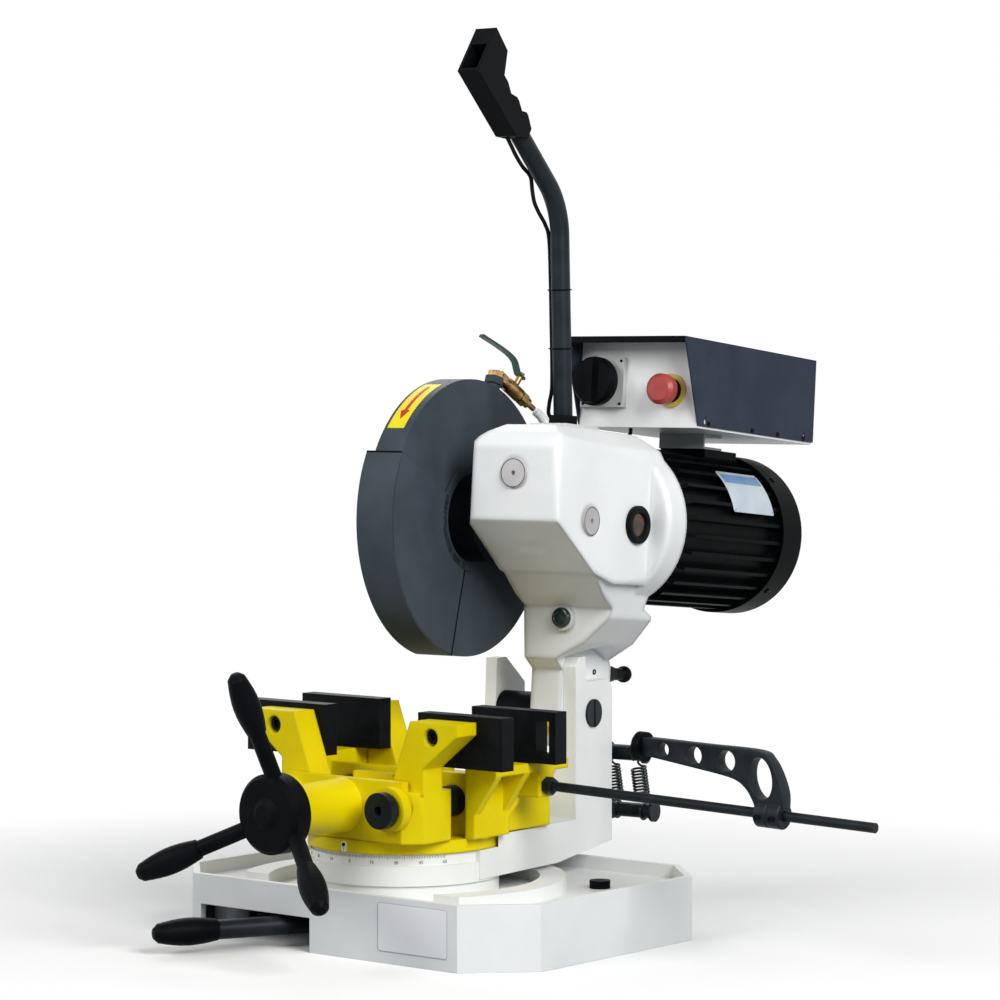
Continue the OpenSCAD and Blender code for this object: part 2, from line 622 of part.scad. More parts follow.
// Cast gearcase of the head with its neck and pivot hub
module gearcase() color(casting_white) on_head() difference() {
    union() {
        intersection() {
            side(case_x0, case_x1 + flank_out) polygon([[-68, -4], [13, -64], [53, -75], [160, -75], [160, 96],
                [142, gear_top], [-42, gear_top], [-62, 106], [-75, 88]]);
            face(-90, 180) polygon([[case_x0, -80], [case_x1 + 6, -80], [case_x1 + flank_out, -66],
                [case_x1 + flank_out, 80], [case_x1 + 5, 97], [case_x1 - 24, gear_top], [102, gear_top], [78, 99],
                [case_x0, 76]]);
            translate([0, 0, -90]) linear_extrude(220) polygon([[case_x0, 180], [case_x0, -60], [case_x0 + 12, -76],
                [case_x1 - 8, -76], [case_x1, flank_y0], [case_x1 + flank_out, flank_y1],
                [case_x1 + flank_out, 180]]);
        }
        translate([motor_x, flank_y1, motor_zl]) rotate([-90, 0, 0])
            cylinder(r1 = flange_r - 5, r2 = flange_r, h = 5.01);
        rod_y(flange_r, flank_y1 + 5, motor_y0, motor_x, motor_zl);
        intersection() {
            side(neck_x0, case_x1 + flank_out) polygon([[14, -62], [60, -92], [88, -106], [95, -172], [114.5, -186],
                [114.5, -pivot_drop], [206.5, -pivot_drop], [231, -214], [231, -180], [188, -113], [164, -104],
                [164, -62]]);
            face(0, 260) polygon([[neck_x0, -300], [neck_x1, -300], [neck_x1, -172], [146, -150], [184, -118],
                [case_x1 + 4, -62], [case_x0 + 2, -62], [neck_x0, -110]]);
        }
        rod_x(hub_r, neck_x0, neck_x1, pivot_back, -pivot_drop);
        box([118, 172], [-14, 62], [gear_top - eps, pad_top]);
        translate([drain_x, 90, -120]) rod_y(17, -5, 10);
        translate([72, 140, 92]) rotate([0, -40, 0]) rod_z(8, -6, 6);
    }
    rod_x(ear_room, neck_x1, case_x1 + 30, pivot_back, -pivot_drop);
    rod_x(bush_r, neck_x0 - eps, neck_x1 + eps, pivot_back, -pivot_drop);
    translate([79, pivot_back, -pivot_drop]) rotate([head_raise, 0, 0]) rotate([-90 - atan2(57, 74), 0, 0])
        rod_z(12, 30, 60);
    rod_x(31, case_x0 - eps, 92);
    rod_x(20, 90, 113);
    rod_x(39, 112, 160);
    rod_x(26, 159, 188);
    rod_x(plug_r, 187, case_x1 + 30);
    rod_y(plug_r, -90, -44, motor_x, worm_z);
    rod_y(22, -45, 63, motor_x, worm_z);
    rod_y(20, 62, 113, motor_x, worm_z);
    rod_y(36, 112, motor_y0 - 8, motor_x, worm_z);
    rod_y(26, 112, motor_y0 + eps, motor_x, motor_zl);
    rod_y(60, motor_y0 - 9, motor_y0 + eps, motor_x, motor_zl);
    on_flank(sight_at) rod_x(20, -10, eps);
    rod_y(9, 84, 106, drain_x, -120);
    rod_y(8, 200, 232, knob_at[0], knob_at[1]);
    translate([handle_x, handle_y, pad_top]) rotate([tube_lean, 0, 0]) rod_z(tube_r, 0, 30);
    translate([72, 140, 92]) rotate([0, -40, 0]) rod_z(4, -12, 8);
}
// A place on the flared right flank of the gearcase, its own X square to the flank
module on_flank(at) translate([case_x1 + (at[0] - flank_y0) * tan(flank_turn), at[0], at[1]])
    rotate([0, 0, -flank_turn]) children();
module pivot_bush() color(brass_gold) on_head() difference() {
    rod_x(bush_r, neck_x0, neck_x1, pivot_back, -pivot_drop);
    rod_x(pivot_r + run_fit, neck_x0 - eps, neck_x1 + eps, pivot_back, -pivot_drop);
}
module pivot_sleeve() color(plastic_black) on_head() difference() {
    rod_x(pivot_r + 8, slot_x0 + face_gap, neck_x0, pivot_back, -pivot_drop);
    rod_x(pivot_r + run_fit, slot_x0 - eps, neck_x0 + eps, pivot_back, -pivot_drop);
}

// Closing plugs over the worm bearing at the front and the spindle bearing at the side
module casting_plugs() color(bright_steel) on_head() {
    difference() {
        rod_y(plug_r, -75, -64, motor_x, worm_z);
        rod_y(3, -76, -70, motor_x, worm_z);
    }
    difference() {
        rod_x(plug_r, case_x1 - 6, case_x1 + 7);
        rod_x(3, case_x1 + 3, case_x1 + 8);
    }
}
module sight_glass() color("#5b4632") on_head() {
    on_flank(sight_at) difference() {
        union() {
            rod_x(20, -9, eps);
            rod_x(24, 0, 5);
        }
        rod_x(15, 2.5, 6);
    }
}
module drain_plug() color(plastic_black) on_head() {
    rod_y(9, 85, 105, drain_x, -120);
    translate([drain_x, 85, -120]) rotate([90, 0, 0]) cylinder(r = 13, h = 7, $fn = 6);
}
module lock_knob() color(plastic_black) on_head() {
    rod_y(8, 201, 283, knob_at[0], knob_at[1]);
    translate([knob_at[0], 256, knob_at[1]]) rotate([90, 0, 0]) cylinder(r1 = 10, r2 = 14, h = 25);
    translate([knob_at[0], 288, knob_at[1]]) sphere(r = 11);
}

// Round bar in the back of the hub with a cross pin that the return springs pull on
module spring_tail() color(dark_steel) on_swivel() {
    difference() {
        translate([79, pivot_y, pivot_z]) rotate([-90 - atan2(57, 74), 0, 0]) rod_z(12, 30, 108);
        rod_x(tail_pin_r, 60, 100, tail_y, tail_z);
    }
    rod_x(tail_pin_r, 64, pin_end - 2, tail_y, tail_z);
    rod_x(tail_pin_r + 3, pin_end - 2, pin_end + 2, tail_y, tail_z);
}

// Fixed blade guard: two cheeks and a rim, open at the front below, with the coolant inlet boss
module upper_guard() color(guard_grey) on_head() difference() {
    union() {
        rod_x(guard_r, -guard_left, guard_right);
        rod_x(20, -mover_left - 4, eps - guard_left);
        translate([14, 0, 0]) rotate([boss_angle - 90, 0, 0]) rod_z(9, guard_r - 4, guard_r + boss_h);
    }
    rod_x(guard_r - guard_wall, guard_wall - guard_left, guard_right - guard_wall);
    rod_x(40, 0, guard_right + eps);
    side(-guard_left - 20, guard_right + 20) intersection() {
        wedge(guard_r + 20, mover_from + 3, mover_to - 2);
        difference() {
            circle(r = guard_r + 20);
            circle(r = 72);
        }
    }
    translate([14, 0, 0]) rotate([boss_angle - 90, 0, 0]) rod_z(4, guard_r - 10, guard_r + boss_h + 2);
}
module guard_hub() color(plastic_black) on_head() difference() {
    rod_x(guard_hub_r, guard_right, case_x0);
    rod_x(24, guard_right - eps, case_x0 + eps);
}

// Front guard that swings up over the fixed one as the head comes down
module movable_guard() color(guard_grey) on_head() {
    side(-mover_left, mover_right) sector(mover_r - guard_wall, mover_r, mover_from, mover_to);
    difference() {
        side(mover_right - guard_wall, mover_right) {
            circle(r = guard_hub_r + 12);
            sector(guard_hub_r + 4, mover_r - eps, mover_from, mover_to);
        }
        rod_x(guard_hub_r + face_gap, 0, mover_right + eps);
    }
    difference() {
        side(-mover_left, guard_wall - mover_left) {
            circle(r = 34);
            sector(26, mover_r - eps, mover_from, mover_to);
        }
        rod_x(20 + face_gap, -mover_left - eps, 0);
    }
}

// Drive: motor pinion, gear, worm, wheel and spindle, on ball bearings
module bearing(r_out, r_in, w) difference() {
    cylinder(r = r_out, h = w);
    translate([0, 0, -eps]) cylinder(r = r_in, h = w + 2 * eps);
    for (z = [-eps, w - 1.5]) translate([0, 0, z]) difference() {
        cylinder(r = r_out - 0.3 * (r_out - r_in), h = 1.5 + eps);
        translate([0, 0, -eps]) cylinder(r = r_in + 0.3 * (r_out - r_in), h = 4);
    }
}
module shaft_bearings() color(bright_steel) on_head() {
    translate([72, 0, 0]) rotate([0, 90, 0]) bearing(31, 17.5 + run_fit, 18);
    translate([166, 0, 0]) rotate([0, 90, 0]) bearing(26, shaft_r + run_fit, 17);
    translate([motor_x, -60, worm_z]) rotate([-90, 0, 0]) bearing(plug_r, 9 + run_fit, 13);
    translate([motor_x, 86, worm_z]) rotate([-90, 0, 0]) bearing(20, 9 + run_fit, 14);
    translate([motor_x, motor_y0 - 5, motor_zl]) rotate([-90, 0, 0]) bearing(26, shaft_r + run_fit, 15);
    translate([motor_x, motor_y1 - 14, motor_zl]) rotate([-90, 0, 0]) bearing(26, shaft_r + run_fit, 14);
}
module spindle() color(bright_steel) on_head() {
    rod_x(16, blade_x - 5, blade_x + blade_t / 2 + eps);
    rod_x(45, blade_x + blade_t / 2, 16);
    rod_x(17.5, 15, 112);
    rod_x(16, 111, 164);
    rod_x(shaft_r, 163, 186);
}
module worm_wheel() color(brass_gold) on_head() difference() {
    side(motor_x - 12, motor_x + 12) toothed(30, 37.6, 32.4);
    rod_x(16, 100, 180);
}
module blade() color("#8d9296") on_head() difference() {
    side(blade_x - blade_t / 2, blade_x + blade_t / 2) toothed(blade_teeth, blade_r, blade_r - 3.5);
    rod_x(16, blade_x - 9, blade_x + 9);
    for (a = [0 : 90 : 270]) rotate([a, 0, 0]) rod_x(5.5, blade_x - 9, blade_x + 9, 31);
}
module blade_flange() color(dark_steel) on_head() difference() {
    union() {
        rod_x(45, blade_x - blade_t / 2 - 6, blade_x - blade_t / 2);
        translate([blade_x - blade_t / 2 - 13, 0, 0]) rotate([0, 90, 0]) cylinder(r = 15, h = 8, $fn = 6);
    }
    rod_x(16, blade_x - 5, blade_x);
}
module worm_shaft() color(bright_steel) on_head() translate([motor_x, 0, worm_z]) {
    rod_y(9, -60, 142);
    difference() {
        rod_y(16, -32, 32);
        for (i = [-4 : 4]) translate([0, i * 7 - 1.6, 0]) rotate([-90, 0, 0]) rotate_extrude()
            polygon([[11, 0.8], [11, 2.4], [17, 4.2], [17, -1]]);
    }
    translate([0, 120, 0]) rotate([-90, 0, 0]) linear_extrude(18) toothed(30, 31, 27.6);
}
module motor_rotor() color(bright_steel) on_motor() {
    rod_y(shaft_r, 142, motor_y1 + 36);
    translate([0, 120, 0]) rotate([-90, 0, 0]) linear_extrude(22.5) toothed(20, 18.6, 15.2);
    rod_y(rotor_r, 216, 386);
}
module motor_fan() color(plastic_black) on_motor() difference() {
    union() {
        rod_y(22, motor_y1 + 6, motor_y1 + 30);
        rod_y(78, motor_y1 + 6, motor_y1 + 9);
        for (a = [0 : 45 : 315]) rotate([0, a, 0]) box([16, 78], [motor_y1 + 8, motor_y1 + 30], [-1.5, 1.5]);
    }
    rod_y(shaft_r, motor_y1, motor_y1 + 40);
}

// Finned motor with its wound core, fan cowl and terminal box
module motor_housing() color(motor_black) on_motor() difference() {
    union() {
        rod_y(60, motor_y0 - 8, motor_y0 + eps);
        rod_y(98, motor_y0, motor_y0 + 14);
        rod_y(motor_r, motor_y0 + 13, motor_y1);
        for (i = [0 : fin_count - 1]) rotate([0, 360 * (i + 0.5) / fin_count, 0]) difference() {
            box([motor_r - 3, fin_r], [motor_y0 + 26, motor_y1 - 6], [-2.5, 2.5]);
            translate([fin_r, motor_y0 + 26, 0]) rotate([0, 0, 45]) box([-7, 7], [-7, 7], [-4, 4]);
        }
    }
    rod_y(26, motor_y0 - 9, motor_y0 + 10.05);
    rod_y(shaft_r + 3, motor_y0, motor_y1 + eps);
    rod_y(stator_r, motor_y0 + 26, motor_y1 - 18);
    rod_y(26, motor_y1 - 19, motor_y1 + eps);
}
module motor_stator() color("#7a4a2a") on_motor() difference() {
    union() {
        rod_y(stator_r, motor_y0 + 48, motor_y1 - 50);
        rod_y(stator_r - 5, motor_y0 + 29, motor_y1 - 31);
    }
    rod_y(rotor_r + 0.5, motor_y0 + 22, motor_y1 - 26);
}
module fan_cover() color(motor_black) on_motor() difference() {
    union() {
        rod_y(cover_r, motor_y1 - 8, cover_y1 - 20);
        translate([0, cover_y1 - 20.01, 0]) rotate([-90, 0, 0]) cylinder(r1 = cover_r, r2 = cover_r - 16, h = 20);
    }
    rod_y(fin_r + 0.02, motor_y1 - 9, motor_y1 - 6);
    rod_y(cover_r - 3, motor_y1, cover_y1 - 22);
    rod_y(motor_r, motor_y1 - 9, motor_y1 + eps);
    for (r = [28 : 14 : 70], i = [0 : r / 3.5 - 1]) rotate([0, 360 * i / floor(r / 3.5), 0])
        rod_y(4, cover_y1 - 30, cover_y1 + eps, r);
}
module terminal_box() color(motor_black) on_head() difference() {
    box([102, 170], [333, 417], [motor_zl + 70, case_top]);
    rod_y(fin_r + 0.3, 300, 430, motor_x, motor_zl);
    for (x = [109, 163], y = [340, 410]) rod_z(3, case_top - 3, case_top + eps, x, y);
}

// Control box on a bracket over the motor: folded tray, dark lid, switch and emergency stop
module box_bracket() color("#8f9698") on_head() {
    box([102, 170], [329, 377], [case_top, case_top + 3]);
    box([102, 170], [329, 377], [box_z0 - 3, box_z0]);
    box([102, 170], [329, 332], [case_top, box_z0]);
}
module control_box() color(casting_white) on_head() difference() {
    union() {
        box([box_x0 + sheet_t, box_x1 - sheet_t], [box_y0, box_y1], [box_z0, box_z0 + sheet_t]);
        box([box_x0 + sheet_t, box_x1 - sheet_t], [box_y0, box_y0 + sheet_t], [box_z0, box_z1 - sheet_t]);
        box([box_x0 + sheet_t, box_x1 - sheet_t], [box_y1 - sheet_t, box_y1], [box_z0, box_z1 - sheet_t]);
        for (x = [box_x0 + sheet_t, box_x1 - 2 * sheet_t])
            box([x, x + sheet_t], [box_y0, box_y1], [box_z0, box_z0 + 14]);
    }
    rod_y(8, box_y0 - eps, box_y0 + 9, switch_at[0], switch_at[1]);
    rod_y(11, box_y0 - eps, box_y0 + 9, estop_at[0], estop_at[1]);
}
module box_lid() color(lid_grey) on_head() difference() {
    union() {
        for (x = [box_x0, box_x1 - sheet_t]) side(x, x + sheet_t) polygon([[box_y0, box_z0 + 3],
            [box_y0 - lid_lip, box_z1], [box_y1 + sheet_t, box_z1], [box_y1 + sheet_t, box_z0 + 3]]);
        box([box_x0, box_x1], [box_y0 - lid_lip, box_y1 + sheet_t], [box_z1 - sheet_t, box_z1]);
        box([box_x0, box_x1], [box_y0 - lid_lip, box_y0 - lid_lip + sheet_t], [box_z1 - 8, box_z1]);
    }
    for (y = [box_y0 + 18, box_y1 - 24]) {
        rod_x(3.5, box_x0 - eps, box_x1 + eps, y, box_z0 + 9);
        box([box_x0 - eps, box_x1 + eps], [y - 1.8, y + 1.8], [box_z0 + 9, box_z0 + 16]);
    }
}
module switch_plate() color("#b9bcbb") on_head() difference() {
    translate([switch_at[0], box_y0, switch_at[1]]) box([-32.5, 32.5], [-8, 0], [-32.5, 32.5]);
    rod_y(8, box_y0 - 9, box_y0 + eps, switch_at[0], switch_at[1]);
}
module rotary_knob() color(plastic_black) on_head() translate([switch_at[0], box_y0 - 8, switch_at[1]]) {
    rod_y(8 - run_fit, -eps, 24);
    rod_y(24, -14, -face_gap);
    rod_y(32, -22, -13);
    translate([0, -21.99, 0]) rotate([90, 0, 0]) cylinder(r1 = 31, r2 = 28, h = 5);
    box([-6, 6], [-36, -26], [-28, 28]);
}
module estop_collar() color("#c9b43c") on_head() difference() {
    union() {
        rod_y(22, box_y0 - 3, box_y0, estop_at[0], estop_at[1]);
        rod_y(14, box_y0 - 13, box_y0, estop_at[0], estop_at[1]);
    }
    rod_y(9.5, box_y0 - 14, box_y0 + eps, estop_at[0], estop_at[1]);
}
module estop_button() color("#a83a36") on_head() translate([estop_at[0], box_y0, estop_at[1]]) {
    rod_y(9.5 - run_fit, -24, 18);
    rod_y(20, -30, -19);
    translate([0, -29.99, 0]) rotate([90, 0, 0]) cylinder(r1 = 20, r2 = 15, h = 5);
}

// Feed handle: tube screwed into the gearcase, bent forward to a grip with a trigger and its cable
module on_tube() on_head() translate([handle_x, handle_y, pad_top]) rotate([tube_lean, 0, 0]) children();
module on_grip() on_tube() translate([0, -tube_bend_r, tube_low]) rotate([tube_bend, 0, 0])
    translate([0, tube_bend_r, tube_high - tube_in_grip]) children();
module tube_form(r) {
    rod_z(r - 0.05, 0, tube_low + 3);
    translate([0, -tube_bend_r, tube_low]) rotate([90, 0, 90]) rotate_extrude(angle = tube_bend)
        translate([tube_bend_r, 0]) circle(r = r);
    translate([0, -tube_bend_r, tube_low]) rotate([tube_bend, 0, 0])
        rod_z(r - 0.05, -3, tube_high, 0, tube_bend_r);
}
module handle_tube() color(dark_steel) on_tube() tube_form(tube_r);
module handle_foot() color(plastic_black) on_head() difference() {
    translate([handle_x, handle_y - 0.6, pad_top]) cylinder(r = 20, h = 11, $fn = 6);
    translate([handle_x, handle_y, pad_top]) rotate([tube_lean, 0, 0]) rod_z(tube_r, -20, 40);
}
module grip() color(plastic_black) difference() {
    on_grip() difference() {
        side(-grip_half, grip_half) polygon([[-22.5, 30], [-6, 9], [8, 12], [15, 28], [15, 33], [9, 41], [13.5, 54],
            [13.5, 60], [7.5, 72], [13, 86], [13, 97], [40, 112], [43, 147], [-23.5, 141]]);
        side(4 - grip_half, grip_half - 4) polygon([[-19.5, 116], [18, 108], [18, 160], [-19.5, 160]]);
        box([-7, 7], [-4, 20], [74, 97]);
    }
    on_tube() tube_form(tube_r);
    on_head() translate(cable_route[0]) sphere(r = cable_r + 4);
}
module trigger() color("#4a5256") on_grip() difference() {
    side(-6.6, 6.6) polygon([[2, 92], [8, 96.5], [13, 96.5], [21, 90], [19.5, 79], [13, 76], [4, 79]]);
    rod_x(2, -9, 9, 8, 92);
}
module switch_cable() color(plastic_black) on_head() swept(smoothed(cable_route, 2), cable_r, 8, [1, 0, 0]);

// Coolant supply: ball valve on the guard boss with a quarter-turn lever and a clear hose
module on_valve() on_head() translate(valve_from) rotate([0, valve_tip, valve_turn]) children();
module coolant_valve() color(brass_gold) {
    on_head() translate([14, 0, 0]) rotate([boss_angle - 90, 0, 0]) {
        translate([0, 0, guard_r + boss_h]) cylinder(r = 11, h = 17, $fn = 6);
    }
    on_valve() difference() {
        union() {
            rod_z(7, -2, valve_len - 14);
            translate([0, 0, 4]) cylinder(r = 10, h = 9, $fn = 6);
            rod_z(9.5, 20, 44);
            translate([0, 0, 46]) cylinder(r = 10, h = 9, $fn = 6);
            rod_z(3.8, valve_len - 15, valve_len - 2);
            rod_x(4, -20, 0, 0, 32);
        }
        rod_z(2, 10, valve_len);
    }
}
module valve_lever() color("#2f7d46") on_valve() difference() {
    union() {
        rod_x(7, -24, -20.3, 0, 32);
        box([-23, -20.5], [-5, 5], [-44, 34]);
        rod_x(6, -26, -20.3, 0, -44);
    }
}
module coolant_hose() color("#cfd6d6") on_head() swept(smoothed(hose_route, 3), hose_r, 10, [1, 0, 0]);

base_tray();
king_pin();
drain_strainer();
vise_base();
guide_bars();
stop_rod();
lock_lever();
lock_grip();
front_jaw();
front_jaw_plates();
rear_jaw();
rear_jaw_plates();
vise_screw();
handwheel();
handwheel_grips();
stop_arm();
stop_pad();
swivel_arm();
pivot_shaft();
spring_bracket();
return_spring_outer();
return_spring_inner();
gearcase();
pivot_bush();
pivot_sleeve();
casting_plugs();
sight_glass();
drain_plug();
lock_knob();
spring_tail();
shaft_bearings();
guard_hub();
upper_guard();
movable_guard();
motor_housing();
motor_stator();
fan_cover();
terminal_box();
box_bracket();
control_box();
box_lid();
switch_plate();
rotary_knob();
estop_collar();
estop_button();
handle_foot();
handle_tube();
grip();
trigger();
switch_cable();
coolant_valve();
valve_lever();
coolant_hose();
spindle();
worm_wheel();
blade();
blade_flange();
worm_shaft();
motor_rotor();
motor_fan();
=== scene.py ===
import math

import bmesh
import bpy
from mathutils import Matrix, Vector


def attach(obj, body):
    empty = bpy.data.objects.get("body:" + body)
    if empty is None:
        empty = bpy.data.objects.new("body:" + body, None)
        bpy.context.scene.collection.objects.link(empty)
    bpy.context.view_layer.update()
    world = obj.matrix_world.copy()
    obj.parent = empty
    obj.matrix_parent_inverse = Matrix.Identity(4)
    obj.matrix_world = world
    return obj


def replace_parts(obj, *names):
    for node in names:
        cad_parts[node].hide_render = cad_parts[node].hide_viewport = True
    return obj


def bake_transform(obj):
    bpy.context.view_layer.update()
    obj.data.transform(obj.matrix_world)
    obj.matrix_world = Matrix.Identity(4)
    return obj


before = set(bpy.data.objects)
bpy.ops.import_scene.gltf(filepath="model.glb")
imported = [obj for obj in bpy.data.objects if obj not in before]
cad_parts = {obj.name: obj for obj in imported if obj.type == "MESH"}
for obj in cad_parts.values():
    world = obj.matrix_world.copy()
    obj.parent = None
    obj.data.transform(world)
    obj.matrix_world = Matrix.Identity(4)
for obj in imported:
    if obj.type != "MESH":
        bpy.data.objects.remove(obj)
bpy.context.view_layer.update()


# Stage: studio paper on the floor, which fades out into plain white, three soft lamps and the camera.
# The white shows to the camera, in metal and through glass. The light comes from the lamps and a dim surround.
def srgb(text):
    """The linear colour of an sRGB hex value."""
    parts = [int(text[i:i + 2], 16) / 255 for i in (1, 3, 5)]
    return tuple(p / 12.92 if p <= 0.04045 else ((p + 0.055) / 1.055) ** 2.4 for p in parts) + (1.0,)


def add(tree, kind, inputs={}, **settings):
    """One node of a tree, with its settings, its socket values and the links into it."""
    node = tree.nodes.new(kind)
    for name, value in settings.items():
        setattr(node, name, value)
    for name, value in inputs.items():
        if isinstance(value, bpy.types.NodeSocket):
            tree.links.new(value, node.inputs[name])
        else:
            node.inputs[name].default_value = value
    return node


def background_rays(tree):
    """1 for the rays that show the white background: straight from the camera, off metal or through glass."""
    rays = add(tree, "ShaderNodeLightPath").outputs
    straight = add(tree, "ShaderNodeMath", {0: rays["Is Camera Ray"], 1: rays["Is Glossy Ray"]}, operation="MAXIMUM")
    return add(tree, "ShaderNodeMath", {0: straight.outputs[0], 1: rays["Is Transmission Ray"]},
        operation="MAXIMUM").outputs[0]


CAMERA_LENS = 126
CAMERA_AT = (2.8392, -3.3443, 0.7039)
CAMERA_TURN = (87.92, 0, 39.32)
scene = bpy.context.scene
scene.view_settings.view_transform = "Standard"
camera = bpy.data.objects.new("camera", bpy.data.cameras.new("camera"))
camera.data.lens = CAMERA_LENS
camera.location = CAMERA_AT
camera.rotation_euler = [math.radians(a) for a in CAMERA_TURN]
scene.collection.objects.link(camera)
scene.camera = camera

# Paper is dull and even: nearly white to the eye, greyer in the light that it throws back up
FLOOR_REACH = 1.6
FLOOR_FADE = (0.55, 1.3)
FLOOR_SEEN = "#FAFAF9"
FLOOR_THROWN = "#7E838C"
form = bmesh.new()
bmesh.ops.create_circle(form, cap_ends=True, segments=96, radius=FLOOR_REACH)
floor = bpy.data.objects.new("floor", bpy.data.meshes.new("floor"))
form.to_mesh(floor.data)
form.free()
scene.collection.objects.link(floor)
floor_paper = bpy.data.materials.new("floor_paper")
floor_paper.use_nodes = True
tree = floor_paper.node_tree
tree.nodes.clear()
where = add(tree, "ShaderNodeTexCoord").outputs["Object"]
radius = add(tree, "ShaderNodeVectorMath", {0: where}, operation="LENGTH").outputs["Value"]
fade = add(tree, "ShaderNodeMapRange", {"Value": radius, "From Min": FLOOR_FADE[0], "From Max": FLOOR_FADE[1]})
tone = add(tree, "ShaderNodeMix", {
    "Factor": background_rays(tree), 6: srgb(FLOOR_THROWN), 7: srgb(FLOOR_SEEN)}, data_type="RGBA")
paper = add(tree, "ShaderNodeBsdfDiffuse", {"Color": tone.outputs[2]})
clear = add(tree, "ShaderNodeBsdfTransparent")
mixed = add(tree, "ShaderNodeMixShader", {0: fade.outputs["Result"], 1: paper.outputs[0], 2: clear.outputs[0]})
add(tree, "ShaderNodeOutputMaterial", {"Surface": mixed.outputs[0]})
floor.data.materials.append(floor_paper)

WORLD_LIGHT = 0.34
world = bpy.data.worlds.new("studio")
scene.world = world
world.use_nodes = True
tree = world.node_tree
tree.nodes.clear()
around = add(tree, "ShaderNodeBackground", {"Color": srgb("#E4E6EA"), "Strength": WORLD_LIGHT})
behind = add(tree, "ShaderNodeBackground", {"Color": srgb("#FFFFFF"), "Strength": 1.0})
mixed = add(tree, "ShaderNodeMixShader", {0: background_rays(tree), 1: around.outputs[0], 2: behind.outputs[0]})
add(tree, "ShaderNodeOutputWorld", {"Surface": mixed.outputs[0]})

for name, place, aim, size, watts in (
    ("key_lamp", (2.9, -0.9, 2.0), (0.1, 0.1, 0.4), 1.6, 104),
    ("front_lamp", (-0.7, -3.0, 2.2), (0, 0, 0.3), 1.8, 54),
    ("rim_lamp", (-2.2, 1.6, 2.2), (0, 0, 0.6), 1.4, 20),
):
    lamp = bpy.data.lights.new(name, "AREA")
    lamp.size = size
    lamp.energy = watts
    holder = bpy.data.objects.new(name, lamp)
    holder.location = place
    holder.rotation_euler = (Vector(aim) - Vector(place)).to_track_quat("-Z", "Y").to_euler()
    scene.collection.objects.link(holder)


# Base: the tray that carries the saw and catches its coolant, with an opening in front for the lock lever.
# It is cast in iron, sprayed with satin enamel and stands on the floor by its rim.
# A finish has a grain in mm. Where the real one is finer than a pixel, it is drawn coarser so that it shows.
def finish(name, dark, light, mottle, grain, height, roughness, metallic=0.0, edge=1.2, shine=0.5):
    """A finish whose colour drifts between two shades over mottle mm, with a grain of that width and height in mm.

    Edges look rounded by edge mm, and shine is the level of mirrored light.
    """
    made = bpy.data.materials.new(name)
    made.use_nodes = True
    tree = made.node_tree
    shader = tree.nodes["Principled BSDF"]
    shader.inputs["Metallic"].default_value = metallic
    shader.inputs["Specular IOR Level"].default_value = shine
    where = add(tree, "ShaderNodeTexCoord").outputs["Object"]
    drift = add(tree, "ShaderNodeTexNoise", {"Vector": where, "Scale": 1000 / mottle, "Detail": 3.0})
    shade = add(tree, "ShaderNodeValToRGB", {"Fac": drift.outputs["Fac"]})
    for stop, position, colour in zip(shade.color_ramp.elements, (0.36, 0.64), (dark, light)):
        stop.position = position
        stop.color = srgb(colour)
    tree.links.new(shade.outputs["Color"], shader.inputs["Base Color"])
    gloss = add(tree, "ShaderNodeMapRange", {
        "Value": drift.outputs["Fac"], "From Min": 0.3, "From Max": 0.7,
        "To Min": roughness - 0.05, "To Max": roughness + 0.05})
    tree.links.new(gloss.outputs["Result"], shader.inputs["Roughness"])
    fine = add(tree, "ShaderNodeTexNoise", {"Vector": where, "Scale": 1000 / grain, "Detail": 2.0})
    worn = add(tree, "ShaderNodeBevel", {"Radius": edge / 1000}, samples=4)
    bump = add(tree, "ShaderNodeBump", {
        "Height": fine.outputs["Fac"], "Distance": height / 1000, "Normal": worn.outputs["Normal"]})
    tree.links.new(bump.outputs["Normal"], shader.inputs["Normal"])
    return made


def coat(material, *nodes):
    """Gives CAD nodes a finish."""
    for node in nodes:
        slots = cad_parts[node].data.materials
        if not slots:
            slots.append(material)
        for i in range(len(slots)):
            slots[i] = material


# Satin enamel sprayed on filled iron: an even white with a faint orange peel and broad, soft lights
white_paint = finish("white_paint", "#E3E5E4", "#EAECEA", 90, 5, 0.12, 0.42)
coat(white_paint, "base_tray")


def held(name, data, body, place=Matrix()):
    """Puts a finished mesh into the scene, its place baked in, tied to a body."""
    data.transform(place)
    piece = bpy.data.objects.new(name, data)
    scene.collection.objects.link(piece)
    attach(piece, body)
    return piece


def closed(form, name, material):
    """The mesh of a finished form, its faces pointing outwards."""
    bmesh.ops.recalc_face_normals(form, faces=form.faces)
    data = bpy.data.meshes.new(name)
    form.to_mesh(data)
    form.free()
    data.materials.append(material)
    return data


def rounded(start, end, low, high, corner, per_mm=1.0):
    """Stations of a sheet with round corners: place along it, lower and upper reach, all in mm but for the first."""
    marks = [corner * (1 - math.cos(math.radians(a))) for a in range(0, 91, 15)]
    length = (end - start) / per_mm
    plain = [corner + (length - 2 * corner) * i / 12 for i in range(1, 12)]
    stations = []
    for mark in marks + plain + [length - m for m in reversed(marks)]:
        near = corner - min(mark, length - mark, corner)
        inset = corner - math.sqrt(corner * corner - near * near)
        stations.append((start + mark * per_mm, low + inset, high - inset))
    return stations


def sheet(name, stations, place, thick, material):
    """A thin closed sheet on a surface: place turns (along, across, out) into a point in mm."""
    form = bmesh.new()
    rows = [[form.verts.new(Vector(place(along, across, out)) / 1000)
        for across, out in ((low, 0), (high, 0), (high, thick), (low, thick))] for along, low, high in stations]
    for one, two in zip(rows, rows[1:]):
        for k in range(4):
            form.faces.new((one[k], one[(k + 1) % 4], two[(k + 1) % 4], two[k]))
    form.faces.new(rows[0])
    form.faces.new(rows[-1])
    return closed(form, name, material)


